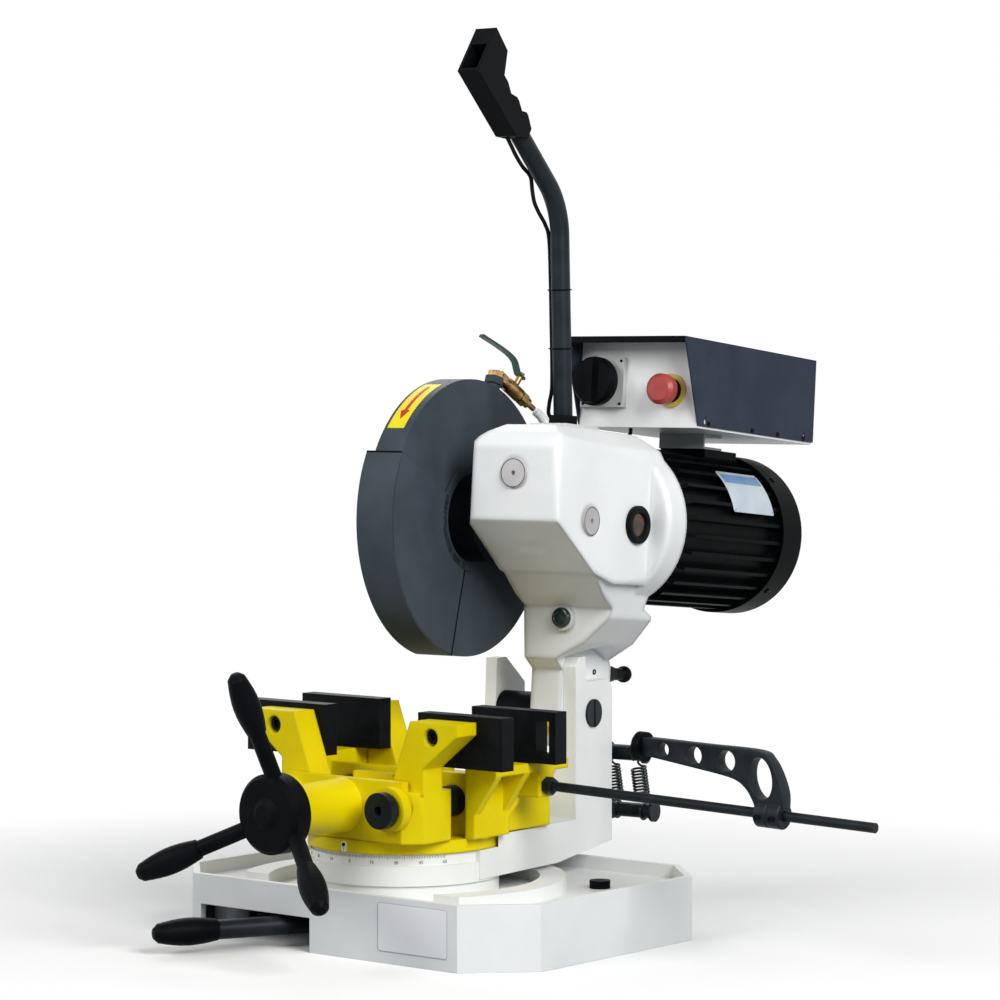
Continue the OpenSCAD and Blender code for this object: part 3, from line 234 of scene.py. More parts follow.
# A bare vinyl label on the front with a grey edge: smooth and dull, a cooler white than the enamel
label_vinyl = finish("label_vinyl", "#F1F2F3", "#F5F6F6", 40, 1.5, 0.01, 0.40, shine=0.3)
label_edge = finish("label_edge", "#B9C2CC", "#C4CCD4", 40, 1.5, 0.01, 0.40, shine=0.3)
FRONT_FACE = -219.9
LABEL_X = (92, 199)
LABEL_Z = (15, 72)
LABEL_CORNER = 3
for name, grow, thick, vinyl in (("base_label_edge", 1.2, 0.25, label_edge), ("base_label", 0, 0.4, label_vinyl)):
    stations = rounded(
        LABEL_X[0] - grow, LABEL_X[1] + grow, LABEL_Z[0] - grow, LABEL_Z[1] + grow, LABEL_CORNER + grow)
    held(name, sheet(name, stations, lambda x, z, out: (x, FRONT_FACE - out, z), thick, vinyl), "base")


# King pin and tray fittings: the steel pin that the arm turns on, turned, ground and pressed into the base,
# and the strainer over the drain, moulded in plastic and pushed into its hole.
# Ground steel is bright and clean, with a fine lay that blurs what it mirrors
ground_steel = finish("ground_steel", "#A9ACAE", "#BDC0C1", 25, 0.6, 0.01, 0.28, 1.0, 0.6)
# Moulded nylon is a dull black with a fine spark grain
black_plastic = finish("black_plastic", "#05070A", "#0A0D10", 30, 0.8, 0.03, 0.46, shine=0.04)
coat(ground_steel, "king_pin")
coat(black_plastic, "drain_strainer")


# Lock lever: the bar that clamps the arm at its angle. It is a steel bar, blackened, that comes out through
# the opening in the base, and its grip is turned from plastic and pressed on the end.
# Oiled dark steel is blue-black and half dull, with a little metal in its lights
dark_steel = finish("dark_steel", "#161C20", "#20272C", 40, 0.8, 0.02, 0.42, 0.2, 0.8, 0.12)
coat(dark_steel, "lock_lever")
coat(black_plastic, "lock_grip")


# Swivel arm: the part that turns on the king pin and carries the head between two ears. It is one iron casting
# in the white of the base. Its ring is turned, and the angle scale on it is cut and filled with black.
def shift(x, y, z):
    """A move in mm."""
    return Matrix.Translation((x / 1000, y / 1000, z / 1000))


def spin(degrees, axis):
    """A turn about an axis, in degrees."""
    return Matrix.Rotation(math.radians(degrees), 4, axis)


def grown(name, tree, values, data=None):
    """The plain mesh that a geometry tree makes from its named inputs."""
    base = bpy.data.objects.new(name, data or bpy.data.meshes.new(name))
    scene.collection.objects.link(base)
    growth = base.modifiers.new("growth", "NODES")
    growth.node_group = tree
    for item in tree.interface.items_tree:
        if item.in_out == "INPUT" and item.name in values:
            growth[item.identifier] = values[item.name]
    made = bpy.data.meshes.new_from_object(base.evaluated_get(bpy.context.evaluated_depsgraph_get()))
    base.modifiers.remove(growth)
    bpy.data.objects.remove(base)
    return made


def tree_of(name, **sockets):
    """A geometry tree with a geometry input and output and the named inputs."""
    tree = bpy.data.node_groups.new(name, "GeometryNodeTree")
    tree.interface.new_socket("Geometry", in_out="INPUT", socket_type="NodeSocketGeometry")
    for label, kind in sockets.items():
        tree.interface.new_socket(label, in_out="INPUT", socket_type=kind)
    tree.interface.new_socket("Geometry", in_out="OUTPUT", socket_type="NodeSocketGeometry")
    return tree, add(tree, "NodeGroupInput").outputs


AXIS_Y = -66
SWIVEL_REST = 6
SCALE_R = 116
SCALE_TOP = 120.6
in_axis = shift(0, AXIS_Y, 0)
in_swivel = in_axis @ spin(SWIVEL_REST, "Z")
coat(white_paint, "swivel_arm")
# Filling ink is flat and nearly black
ink = finish("scale_ink", "#1A1B1D", "#242527", 8, 0.5, 0.01, 0.6)

# One stroke for every degree of the arc, longer at every fifth
tree, given = tree_of("graduations", Count="NodeSocketInt", Radius="NodeSocketFloat", Step="NodeSocketFloat",
    Every="NodeSocketInt", Width="NodeSocketFloat", Depth="NodeSocketFloat", Length="NodeSocketFloat",
    Ink="NodeSocketMaterial")
points = add(tree, "GeometryNodePoints", {"Count": given["Count"]})
index = add(tree, "GeometryNodeInputIndex").outputs[0]
last = add(tree, "ShaderNodeMath", {0: given["Count"], 1: 1.0}, operation="SUBTRACT").outputs[0]
middle = add(tree, "ShaderNodeMath", {0: last, 1: 0.5}, operation="MULTIPLY").outputs[0]
offset = add(tree, "ShaderNodeMath", {0: index, 1: middle}, operation="SUBTRACT").outputs[0]
angle = add(tree, "ShaderNodeMath", {0: offset, 1: given["Step"]}, operation="MULTIPLY").outputs[0]
turn = add(tree, "ShaderNodeCombineXYZ", {"Z": angle}).outputs[0]
back = add(tree, "ShaderNodeMath", {0: given["Radius"], 1: -1.0}, operation="MULTIPLY").outputs[0]
out = add(tree, "ShaderNodeCombineXYZ", {"Y": back}).outputs[0]
place = add(tree, "ShaderNodeVectorRotate", {"Vector": out, "Rotation": turn}, rotation_type="EULER_XYZ").outputs[0]
moved = add(tree, "GeometryNodeSetPosition", {"Geometry": points.outputs[0], "Position": place})
rest = add(tree, "ShaderNodeMath", {0: index, 1: given["Every"]}, operation="MODULO").outputs[0]
long = add(tree, "ShaderNodeMath", {0: rest, 1: 0.5}, operation="LESS_THAN").outputs[0]
tall = add(tree, "ShaderNodeMath", {0: long, 1: 0.7, 2: 1.0}, operation="MULTIPLY_ADD").outputs[0]
stroke = add(tree, "ShaderNodeCombineXYZ", {"X": given["Width"], "Y": given["Depth"], "Z": given["Length"]})
bar = add(tree, "GeometryNodeMeshCube", {"Size": stroke.outputs[0]})
size = add(tree, "ShaderNodeCombineXYZ", {"X": 1.0, "Y": 1.0, "Z": tall}).outputs[0]
set_out = add(tree, "GeometryNodeInstanceOnPoints", {
    "Points": moved.outputs[0], "Instance": bar.outputs[0], "Rotation": turn, "Scale": size})
real = add(tree, "GeometryNodeRealizeInstances", {0: set_out.outputs[0]})
inked = add(tree, "GeometryNodeSetMaterial", {"Geometry": real.outputs[0], "Material": given["Ink"]})
add(tree, "NodeGroupOutput", {0: inked.outputs[0]})
strokes = grown("scale_strokes", tree, {
    "Count": 121, "Radius": SCALE_R / 1000, "Step": math.radians(1), "Every": 5, "Width": 0.00045, "Depth": 0.0003,
    "Length": 0.0028, "Ink": ink})
held("scale_strokes", strokes, "swivel", in_swivel @ shift(0, 0, SCALE_TOP - 3.2))


def as_mesh(name, data):
    """The plain mesh of a text or a flat curve."""
    holder = bpy.data.objects.new(name, data)
    scene.collection.objects.link(holder)
    made = bpy.data.meshes.new_from_object(holder.evaluated_get(bpy.context.evaluated_depsgraph_get()))
    bpy.data.objects.remove(holder)
    return made


# Plain numbers under the long strokes, bent round the ring
NUMBER_DROP = 11.5
for degrees in range(-60, 61, 15):
    text = bpy.data.curves.new("number", "FONT")
    text.body = str(abs(degrees))
    text.size = 0.0055
    text.align_x = "CENTER"
    text.extrude = 0.0001
    number = as_mesh("number", text)
    for vert in number.vertices:
        a = math.radians(degrees) + 1000 * vert.co.x / SCALE_R
        r = SCALE_R / 1000 + 0.0001 + vert.co.z
        vert.co = (r * math.sin(a), -r * math.cos(a), (SCALE_TOP - NUMBER_DROP) / 1000 + vert.co.y)
    number.materials.clear()
    number.materials.append(ink)
    held("scale_number_%d" % (degrees + 60), number, "swivel", in_swivel)


# Vise: two jaws that close on the work together, on guide bars over a round disc. Base and jaws are iron castings
# painted yellow, the bars are drawn steel, and the hardened plates are blackened and screwed to the jaws.
# Satin enamel on rough castings: a full yellow that rolls softly over the edges
yellow_paint = finish("yellow_paint", "#DCC600", "#E4CF02", 60, 4, 0.14, 0.42, edge=4, shine=0.12)
# Black oxide on hardened steel is nearly black and half dull
black_oxide = finish("black_oxide", "#05080B", "#0B1013", 20, 0.7, 0.02, 0.44, 0.0, 0.8, 0.07)
coat(yellow_paint, "vise_base", "front_jaw", "rear_jaw")
coat(dark_steel, "guide_bars")
coat(black_oxide, "front_jaw_plates", "rear_jaw_plates")

# Socket-head screws: every screw of a body is one point with its direction and head radius, which sets its size.
# Height and key width are shares of that radius
tree, given = tree_of("socket_screws", Height="NodeSocketFloat", Key="NodeSocketFloat", Steel="NodeSocketMaterial")
head = add(tree, "GeometryNodeMeshCylinder", {
    "Vertices": 24, "Radius": 1.0, "Depth": given["Height"]}, fill_type="NGON").outputs["Mesh"]
key = add(tree, "GeometryNodeMeshCylinder", {"Vertices": 6, "Radius": given["Key"], "Depth": 1.0}, fill_type="NGON")
half = add(tree, "ShaderNodeMath", {0: given["Height"], 1: 0.5}, operation="MULTIPLY").outputs[0]
rise = add(tree, "ShaderNodeCombineXYZ", {"Z": half}).outputs[0]
raised = add(tree, "GeometryNodeTransform", {"Geometry": head, "Translation": rise})
top = add(tree, "ShaderNodeMath", {0: given["Height"], 1: 0.1}, operation="ADD").outputs[0]
deep = add(tree, "ShaderNodeCombineXYZ", {"Z": top}).outputs[0]
keyed = add(tree, "GeometryNodeTransform", {"Geometry": key.outputs["Mesh"], "Translation": deep})
screw = add(tree, "GeometryNodeMeshBoolean", {0: raised.outputs[0], 1: keyed.outputs[0]}, operation="DIFFERENCE")
way = add(tree, "GeometryNodeInputNamedAttribute", {"Name": "way"}, data_type="FLOAT_VECTOR").outputs[0]
width = add(tree, "GeometryNodeInputNamedAttribute", {"Name": "width"}, data_type="FLOAT").outputs[0]
aimed = add(tree, "FunctionNodeAlignRotationToVector", {"Vector": way}, axis="Z")
set_out = add(tree, "GeometryNodeInstanceOnPoints", {
    "Points": given["Geometry"], "Instance": screw.outputs["Mesh"], "Rotation": aimed.outputs[0], "Scale": width})
real = add(tree, "GeometryNodeRealizeInstances", {0: set_out.outputs[0]})
steeled = add(tree, "GeometryNodeSetMaterial", {"Geometry": real.outputs[0], "Material": given["Steel"]})
add(tree, "NodeGroupOutput", {0: steeled.outputs[0]})
screw_tree = tree


def screws(name, body, place, spots, height=0.6, steel=None):
    """Screws of one body: each spot is a place in mm, the way its head faces and the head radius in mm."""
    data = bpy.data.meshes.new(name)
    data.from_pydata([Vector(spot[0]) / 1000 for spot in spots], [], [])
    data.attributes.new("way", "FLOAT_VECTOR", "POINT")
    data.attributes.new("width", "FLOAT", "POINT")
    for i, spot in enumerate(spots):
        data.attributes["way"].data[i].vector = spot[1]
        data.attributes["width"].data[i].value = spot[2] / 1000
    made = grown(name, screw_tree, {"Height": height, "Key": 0.55, "Steel": steel or black_oxide}, data)
    return held(name, made, body, place)


DISC_R = 120
DISC_TOP = 129.2
DISC_SCREW_R = 104
JAW_SCREW_X = 128
JAW_SCREW_Y = 86
JAW_SCREW_Z = 268
screws("disc_screws", "base", in_axis, [
    ((DISC_SCREW_R * math.cos(math.radians(a)), DISC_SCREW_R * math.sin(math.radians(a)), DISC_TOP), (0, 0, 1), 6.4)
    for a in (225, 315)])
for jaw, side in (("front_jaw", -1), ("rear_jaw", 1)):
    screws(jaw + "_screws", jaw, in_axis, [
        ((x, side * JAW_SCREW_Y, JAW_SCREW_Z), (0, side, 0), 9) for x in (-JAW_SCREW_X, JAW_SCREW_X)], 0.9)

# Index plate: a small painted plate with a line, screwed to the edge of the disc over the angle scale
INDEX_ANGLE = 3.3
in_index = in_axis @ spin(INDEX_ANGLE, "Z")
held("index_plate", sheet("index_plate", rounded(-4, 4, 122, 135, 3),
    lambda x, z, out: (x, -DISC_R + 0.1 - out, z), 0.7, label_vinyl), "base", in_index)
held("index_line", sheet("index_line", [(-0.3, 122.3, 128), (0.3, 122.3, 128)],
    lambda x, z, out: (x, -DISC_R - 0.5 - out, z), 0.15, ink), "base", in_index)
screws("index_screw", "base", in_index, [((0, -DISC_R - 0.5, 131), (0, -1, 0), 2.2)], 0.5)

# Vise screw: a right-hand and a left-hand thread cut on one bar, plain in the middle and at its front bearing
SCREW_R = 12
SCREW_Z = 179
SCREW_FRONT = -247
PLAIN_FRONT = -215
PLAIN_HALF = 8
THREAD_LEAD = 5.0
THREAD_DEPTH = 1.6
THREAD_SIDES = 24
rows = [SCREW_FRONT + THREAD_LEAD / 4 * i for i in range(310)]
verts = []
for row in rows:
    for k in range(THREAD_SIDES):
        hand = 1 if row < 0 else -1
        phase = (row / THREAD_LEAD + hand * k / THREAD_SIDES) % 1.0
        cut = THREAD_DEPTH * (1 - abs(2 * phase - 1)) if abs(row) > PLAIN_HALF and row > PLAIN_FRONT else 0.0
        a = 2 * math.pi * k / THREAD_SIDES
        r = (SCREW_R - cut) / 1000
        verts.append((r * math.cos(a), row / 1000, SCREW_Z / 1000 + r * math.sin(a)))
faces = [[i * THREAD_SIDES + k, (i + 1) * THREAD_SIDES + k, (i + 1) * THREAD_SIDES + (k + 1) % THREAD_SIDES,
    i * THREAD_SIDES + (k + 1) % THREAD_SIDES] for i in range(len(rows) - 1) for k in range(THREAD_SIDES)]
faces.append(list(range(THREAD_SIDES)))
faces.append([len(verts) - 1 - k for k in range(THREAD_SIDES)])
bar = bpy.data.meshes.new("threaded_bar")
bar.from_pydata(verts, [], faces)
bar.materials.append(ground_steel)
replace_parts(held("threaded_bar", bar, "handwheel", in_axis), "vise_screw")


# Handwheel: the wheel that turns the vise screw, a moulded hub with three spokes keyed on its front end.
# The grips are turned from plastic and screwed on the ends of the spokes.
coat(black_plastic, "handwheel", "handwheel_grips")


# Length stop: the arm that sets the length of the pieces cut off. Its rod is drawn steel, blackened and fixed in
# the right of the vise. The arm is cast with three round bores and an oval, and clamped on the rod by two screws.
def turned(name, profile, sides, material):
    """A turned piece about Z: the profile is a closed line of radius and height in mm."""
    form = bmesh.new()
    rings = []
    for k in range(sides):
        a = 2 * math.pi * k / sides
        rings.append([form.verts.new((r * math.cos(a) / 1000, r * math.sin(a) / 1000, h / 1000)) for r, h in profile])
    for k in range(sides):
        one, two = rings[k], rings[(k + 1) % sides]
        for i in range(len(profile)):
            j = (i + 1) % len(profile)
            form.faces.new((one[i], two[i], two[j], one[j]))
    bmesh.ops.remove_doubles(form, verts=form.verts, dist=1e-7)
    return closed(form, name, material)


def smooth(points, steps):
    """A curve through the points."""
    line = []
    for i in range(len(points) - 1):
        a, b, c, d = (Vector(points[min(max(j, 0), len(points) - 1)]) for j in (i - 1, i, i + 1, i + 2))
        for k in range(steps):
            t = k / steps
            line.append(0.5 * (2 * b + (c - a) * t + (2 * a - 5 * b + 4 * c - d) * t * t
                + (3 * b - a - 3 * c + d) * t ** 3))
    return line + [Vector(points[-1])]


def ring_of(x, z, wide, high, lean):
    """The rim of a round or oval hole, leaning by some degrees."""
    turn = math.radians(lean)
    return [(x + wide * math.cos(a) * math.cos(turn) - high * math.sin(a) * math.sin(turn),
        z + wide * math.cos(a) * math.sin(turn) + high * math.sin(a) * math.cos(turn))
        for a in (2 * math.pi * i / 40 for i in range(40))]


coat(dark_steel, "stop_rod")
coat(black_plastic, "stop_pad")
ROD_AT = (165, 76, 197)
ROD_DROP = 1.57
ARM_HALF = 9
ARM_EDGE = 1
CLAMP_X = 338
in_rod = in_axis @ shift(*ROD_AT) @ spin(ROD_DROP, "Y")
top_edge = smooth([
    (152, 74, 0), (240, 74, 0), (318, 74, 0), (337, 65, 0), (350, 46, 0), (357.5, 26, 0), (358, 9, 0)], 6)
low_edge = smooth([
    (318, 9, 0), (315, 15, 0), (306, 27, 0), (292, 36, 0), (270, 40.5, 0), (220, 46, 0), (152, 53, 0)], 6)
outline = bpy.data.curves.new("stop_arm_outline", "CURVE")
outline.dimensions = "2D"
outline.fill_mode = "BOTH"
outline.extrude = (ARM_HALF - ARM_EDGE) / 1000
outline.bevel_depth = ARM_EDGE / 1000
outline.bevel_resolution = 2
outline.offset = -ARM_EDGE / 1000
for loop in (
    [p.to_2d() for p in top_edge + low_edge],
    ring_of(183, 62, 9, 9, 0),
    ring_of(229, 59.5, 11.5, 11.5, 0),
    ring_of(276, 57.5, 13, 13, 0),
    ring_of(326, 42, 16, 25, 13),
):
    spline = outline.splines.new("POLY")
    spline.points.add(len(loop) - 1)
    for point, (x, z) in zip(spline.points, loop):
        point.co = (x / 1000, z / 1000, 0, 1)
    spline.use_cyclic_u = True
plate = as_mesh("stop_arm_outline", outline)
plate.transform(spin(90, "X"))
clamp = turned("stop_clamp", [(6.4, -18), (14.5, -18), (16, -16.5), (16, -2), (15, -1), (15, 1), (16, 2), (16, 16.5),
    (14.5, 18), (6.4, 18)], 48, dark_steel)
clamp.transform(shift(CLAMP_X, 0, 0) @ spin(90, "Y"))
form = bmesh.new()
form.from_mesh(plate)
bmesh.ops.remove_doubles(form, verts=form.verts, dist=1e-6)
form.from_mesh(clamp)
arm = closed(form, "stop_arm_cast", dark_steel)
arm.shade_smooth()
arm.set_sharp_from_angle(angle=math.radians(40))
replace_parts(held("stop_arm_cast", arm, "length_stop", in_rod), "stop_arm")
screws("stop_clamp_screws", "length_stop", in_rod, [
    ((CLAMP_X + dx, -15.6, -3), (0, -1, 0), 3.6) for dx in (-10, 10)], 1.2)


# Head pivot: the steel shaft that the head tilts on, held in the ears of the arm, with a bush and a sleeve on it.
# Two coiled tension springs, hooked between a bracket on the arm and a bar on the head, hold the head up.
def swept(name, line, r, sides, material):
    """A round wire or hose along a line of points in mm, closed at both ends."""
    line = [Vector(p) / 1000 for p in line]
    ways = [(line[min(i + 1, len(line) - 1)] - line[max(i - 1, 0)]).normalized() for i in range(len(line))]
    up = ways[0].orthogonal()
    verts = []
    for point, way in zip(line, ways):
        up = (up - way * up.dot(way)).normalized()
        across = way.cross(up)
        for k in range(sides):
            a = 2 * math.pi * k / sides
            verts.append(point + (up * math.cos(a) + across * math.sin(a)) * r / 1000)
    faces = [[i * sides + k, i * sides + (k + 1) % sides, (i + 1) * sides + (k + 1) % sides, (i + 1) * sides + k]
        for i in range(len(line) - 1) for k in range(sides)]
    faces.append(list(range(sides - 1, -1, -1)))
    faces.append([len(verts) - sides + k for k in range(sides)])
    data = bpy.data.meshes.new(name)
    data.from_pydata(verts, [], faces)
    data.materials.append(material)
    data.shade_smooth()
    return data


# Cast and turned brass is warm and clear in its lights, browner where the skin of the casting is left
brass = finish("brass", "#8E6E48", "#B4925F", 9, 0.6, 0.02, 0.32, 1.0, 0.5)
coat(dark_steel, "pivot_shaft", "spring_bracket", "spring_tail")
coat(brass, "pivot_bush")
coat(black_plastic, "pivot_sleeve", "lock_knob")

# Springs: oil-tempered wire, dark with narrow lights along each coil. A spring runs up Z from its lower pin
spring_steel = finish("spring_steel", "#14191B", "#23292B", 6, 0.5, 0.01, 0.34, 0.6, 0.3)
LOW_PIN = (341, 134)
HIGH_PIN = (322, 211)
LOW_HOOK_R = 11.2
HIGH_HOOK_R = 11.7
WIRE_R = 1.5
COIL_R = 9.5
COIL_TURNS = 9
COIL_PITCH = 4.2
COIL_STEPS = 24
spring_span = math.hypot(LOW_PIN[0] - HIGH_PIN[0], HIGH_PIN[1] - LOW_PIN[1])
spring_lean = math.degrees(math.atan2(LOW_PIN[0] - HIGH_PIN[0], HIGH_PIN[1] - LOW_PIN[1]))
coil_low = (spring_span + LOW_HOOK_R - HIGH_HOOK_R - COIL_TURNS * COIL_PITCH) / 2
coil_high = coil_low + COIL_TURNS * COIL_PITCH
low_hook = [(0, LOW_HOOK_R * math.sin(a), -LOW_HOOK_R * math.cos(a))
    for a in (math.radians(d) for d in range(-130, 176, 15))]
high_hook = [(0, HIGH_HOOK_R * math.sin(a), spring_span - HIGH_HOOK_R * math.cos(a))
    for a in (math.radians(d) for d in range(5, 311, 15))]
coil = [(COIL_R * math.cos(2 * math.pi * t / COIL_STEPS), COIL_R * math.sin(2 * math.pi * t / COIL_STEPS),
    coil_low + COIL_PITCH * t / COIL_STEPS) for t in range(COIL_TURNS * COIL_STEPS + 1)]
lead_in = smooth([
    (0, 0, 12.5), (2, -4, coil_low - 2.5), (7, -6.5, coil_low - 0.9), coil[0]], 5)
lead_out = smooth([
    coil[-1], (7, 6.5, coil_high + 0.9), (2, 4, coil_high + 2.5), (0, 0, spring_span - 13)], 5)
spring_line = low_hook + lead_in[:-1] + coil + lead_out[1:] + high_hook
for node, x in (("return_spring_outer", 143), ("return_spring_inner", 103)):
    in_spring = in_swivel @ shift(x, *LOW_PIN) @ spin(spring_lean, "X")
    wire = swept(node + "_wire", spring_line, WIRE_R, 10, spring_steel)
    wire.transform(in_spring)
    spring = bpy.data.objects.new(node + "_wire", wire)
    scene.collection.objects.link(spring)
    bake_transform(spring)
    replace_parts(spring, node)


# Gearcase: the head of the saw, an iron casting in white that holds spindle, worm wheel and worm in oil.
# Pressed-in steel plugs close its casting holes, and the sight glass and the drain plug are screwed in.
PIVOT_AT = (0, 248, 268)
HEAD_REST = -5
SPINDLE_AT = (0, -160.5, 240)
in_head = in_swivel @ shift(*PIVOT_AT) @ spin(HEAD_REST, "X") @ shift(*SPINDLE_AT)
# The enamel of the base over a casting with broad, rounded edges
cast_white = finish("cast_white", "#E3E5E5", "#EAECEB", 90, 5, 0.12, 0.38, edge=11)
# Pressed steel plugs are pale grey and dull, from the press and the wiped paint
plug_steel = finish("plug_steel", "#ABA8A8", "#B8B5B5", 25, 0.8, 0.01, 0.45, 0.2, 0.6)
# Glass with dark oil behind it: deep brown with a sharp light
oil_glass = finish("oil_glass", "#2A1C10", "#4A3018", 12, 4, 0.02, 0.10)
# Moulded translucent plug: a dark green with a clear light on its rim
plug_glass = finish("plug_glass", "#0E1F1A", "#183029", 8, 3, 0.02, 0.22)
coat(cast_white, "gearcase")
coat(plug_steel, "casting_plugs")
coat(ground_steel, "shaft_bearings", "spindle", "worm_shaft", "motor_rotor")
coat(brass, "worm_wheel")
coat(black_oxide, "sight_glass")
for name, spot, axis in (("front_plug_groove", (136, -75, 54), "X"), ("side_plug_groove", (207, 0, 0), "Y")):
    groove = turned(name, [(16.9, -0.2), (17.7, -0.2), (17.7, 0.15), (16.9, 0.15)], 64, black_oxide)
    held(name, groove, "head", in_head @ shift(*spot) @ spin(90, axis))
drain = turned("drain_plug_round", [(0, -20), (9, -20), (9, 0), (13, 0), (13, 3.5), (11.6, 5.4), (9.4, 6), (8.8, 4.6),
    (0, 5.2)], 48, plug_glass)
in_drain = in_head @ shift(116, 85, -120) @ spin(90, "X")
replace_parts(held("drain_plug_round", drain, "head", in_drain), "drain_plug")
screws("neck_set_screw", "head", in_head, [((102.4, 190.3, -187.8), (1, 0, 0), 3.6)], 0.3)
SIGHT_AT = (211.96, 98, 0.6)
FLANK_TURN = -4.17
in_flank = in_head @ shift(*SIGHT_AT) @ spin(FLANK_TURN, "Z") @ spin(90, "Y")
held("sight_bezel", turned("sight_bezel", [(15.2, 4.8), (16.4, 6.4), (20.6, 6.8), (23.2, 5.6), (23.2, 4.8)], 48,
    black_oxide), "head", in_flank)
held("sight_window", turned("sight_window", [(0, 4.6), (6, 4.4), (11, 3.8), (14.8, 2.9), (14.8, 2.3), (0, 2.3)], 48,
    oil_glass), "head", in_flank)


# Blade and guards: the toothed steel blade on the spindle, clamped by its flange, and the guards round it.
# The upper guard is pressed from sheet and bolted to the gearcase. The movable one turns on a plastic hub.
def on_rim(radius):
    """Where a sheet lies that is bent round the spindle: along it in degrees, across it along X."""
    return lambda degrees, x, out: (
        x, (radius + out) * math.cos(math.radians(degrees)), (radius + out) * math.sin(math.radians(degrees)))


# Powder coat on sheet: a flat slate grey with a fine peel
guard_paint = finish("guard_paint", "#353D45", "#3E474F", 60, 1.6, 0.03, 0.50, shine=0.12)
# Ground blade steel is bright and clean, with a fine lay
blade_steel = finish("blade_steel", "#8C9294", "#9DA2A4", 15, 0.5, 0.01, 0.3, 1.0, 0.4)
coat(guard_paint, "upper_guard")
coat(black_plastic, "guard_hub")
coat(blade_steel, "blade")
coat(dark_steel, "blade_flange")

# Movable guard: rim and both cheeks bent from one sheet, with a ring round the hub on each side
MOVER_START = 156
MOVER_END = 259
MOVER_R = 175.5
MOVER_SHEET = 2.5
MOVER_LEFT = -23
MOVER_RIGHT = 27.5


def cheek(name, start, end, low, high, x):
    """A flat sheet in the plane of the blade, from one angle to another and between two radii."""
    count = max(2, round(abs(end - start) / 1.5))
    return sheet(name, [(start + (end - start) * i / count, low, high) for i in range(count + 1)],
        lambda degrees, r, out: on_rim(r)(degrees, x + out, 0), MOVER_SHEET, guard_paint)


shell = bmesh.new()
for part in (
    sheet("mover_rim", [(MOVER_START + (MOVER_END - MOVER_START) * i / 70, MOVER_LEFT, MOVER_RIGHT + MOVER_SHEET)
        for i in range(71)], on_rim(MOVER_R), MOVER_SHEET, guard_paint),
    cheek("mover_right", MOVER_START, MOVER_END, 59, MOVER_R + 1, MOVER_RIGHT),
    cheek("mover_left", MOVER_START, MOVER_END, 26, MOVER_R + 1, MOVER_LEFT),
    cheek("mover_ring_right", 0, 360, 55.4, 67, MOVER_RIGHT),
    cheek("mover_ring_left", 0, 360, 20.4, 34, MOVER_LEFT),
):
    shell.from_mesh(part)
mover = closed(shell, "mover_shell", guard_paint)
mover.shade_smooth()
mover.set_sharp_from_angle(angle=math.radians(30))
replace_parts(held("mover_shell", mover, "movable_guard", in_head), "movable_guard")

# Painted shadow: thin black strips on the guard where it meets the upper guard and on the far edge of its right cheek
# stand in for the shadow gaps there
SHADOW_LINE_HALF = 1.1
SHADOW_LINE_THICK = 0.6
SHADOW_LINE_CORNER = 0.8
mover_out = MOVER_R + MOVER_SHEET
mover_face = MOVER_RIGHT + MOVER_SHEET
held("mover_rim_painted_shadow", sheet("mover_rim_painted_shadow", rounded(MOVER_LEFT, mover_face, -SHADOW_LINE_HALF, SHADOW_LINE_HALF, SHADOW_LINE_CORNER),
    lambda x, side, out: on_rim(mover_out - 0.1)(MOVER_START + math.degrees(side / mover_out), x, out),
    SHADOW_LINE_THICK, black_plastic), "movable_guard", in_head)
edge_y = math.cos(math.radians(MOVER_END))
edge_z = math.sin(math.radians(MOVER_END))
held("mover_cheek_painted_shadow", sheet("mover_cheek_painted_shadow", rounded(67, mover_out, -SHADOW_LINE_HALF, SHADOW_LINE_HALF, SHADOW_LINE_CORNER),
    lambda r, side, out: (mover_face - 0.1 + out, r * edge_y - side * edge_z, r * edge_z + side * edge_y),
    SHADOW_LINE_THICK, black_plastic), "movable_guard", in_head)

# A vinyl label on the rim of the upper guard with a plain arrow for the turn of the blade: flat, bright colours
label_yellow = finish("label_yellow", "#E2D214", "#E8DA1E", 30, 1.5, 0.01, 0.45, shine=0.2)
label_red = finish("label_red", "#B5241B", "#BE2E24", 30, 1.5, 0.01, 0.45, shine=0.2)
GUARD_R = 175
GUARD_LABEL = 0.3
ARROW_X = 3.5
held("guard_label", sheet("guard_label", rounded(111, 144, -9, 16, 2, math.degrees(1 / GUARD_R)), on_rim(GUARD_R),
    GUARD_LABEL, label_yellow), "head", in_head)
shaft = [(114.5 + i, ARROW_X - 2.6, ARROW_X + 2.6) for i in range(20)]
point = [(134 + 0.5 * i, ARROW_X - 0.65 * (10 - i) - 0.1, ARROW_X + 0.65 * (10 - i) + 0.1) for i in range(11)]
held("guard_arrow", sheet("guard_arrow", shaft + point, on_rim(GUARD_R + GUARD_LABEL), 0.12, label_red), "head",
    in_head)


# Motor: the motor that drives the worm, flanged to the back of the gearcase. Its finned housing is cast, the cowl
# over the fan is pressed from sheet and screwed on, and the terminal box stands on top under the control box.
# Black enamel on castings: deep and half dull
motor_paint = finish("motor_paint", "#030506", "#080C0D", 50, 2.5, 0.05, 0.38, shine=0.02)
# Varnished copper wire is a warm brown, ridged by its turns
copper_winding = finish("copper_winding", "#7A4428", "#8C5230", 6, 1.2, 0.1, 0.4, 0.6)
coat(motor_paint, "motor_housing", "fan_cover", "terminal_box")
coat(copper_winding, "motor_stator")
coat(black_plastic, "motor_fan")
MOTOR_X = 136
MOTOR_Z = 4
FIN_R = 102
COWL_R = 105.6
COWL_SCREW_Y = 446
screws("terminal_screws", "head", in_head, [
    ((MOTOR_X + dx, y, 109.2), (0, 0, 1), 2.8) for dx in (-27, 27) for y in (340, 410)])
screws("cowl_screws", "head", in_head @ shift(MOTOR_X, 0, MOTOR_Z), [
    ((COWL_R * math.cos(a), COWL_SCREW_Y, COWL_R * math.sin(a)), (math.cos(a), 0, math.sin(a)), 4)
    for a in (math.radians(d) for d in (45, 135, 225, 315))], 0.5)


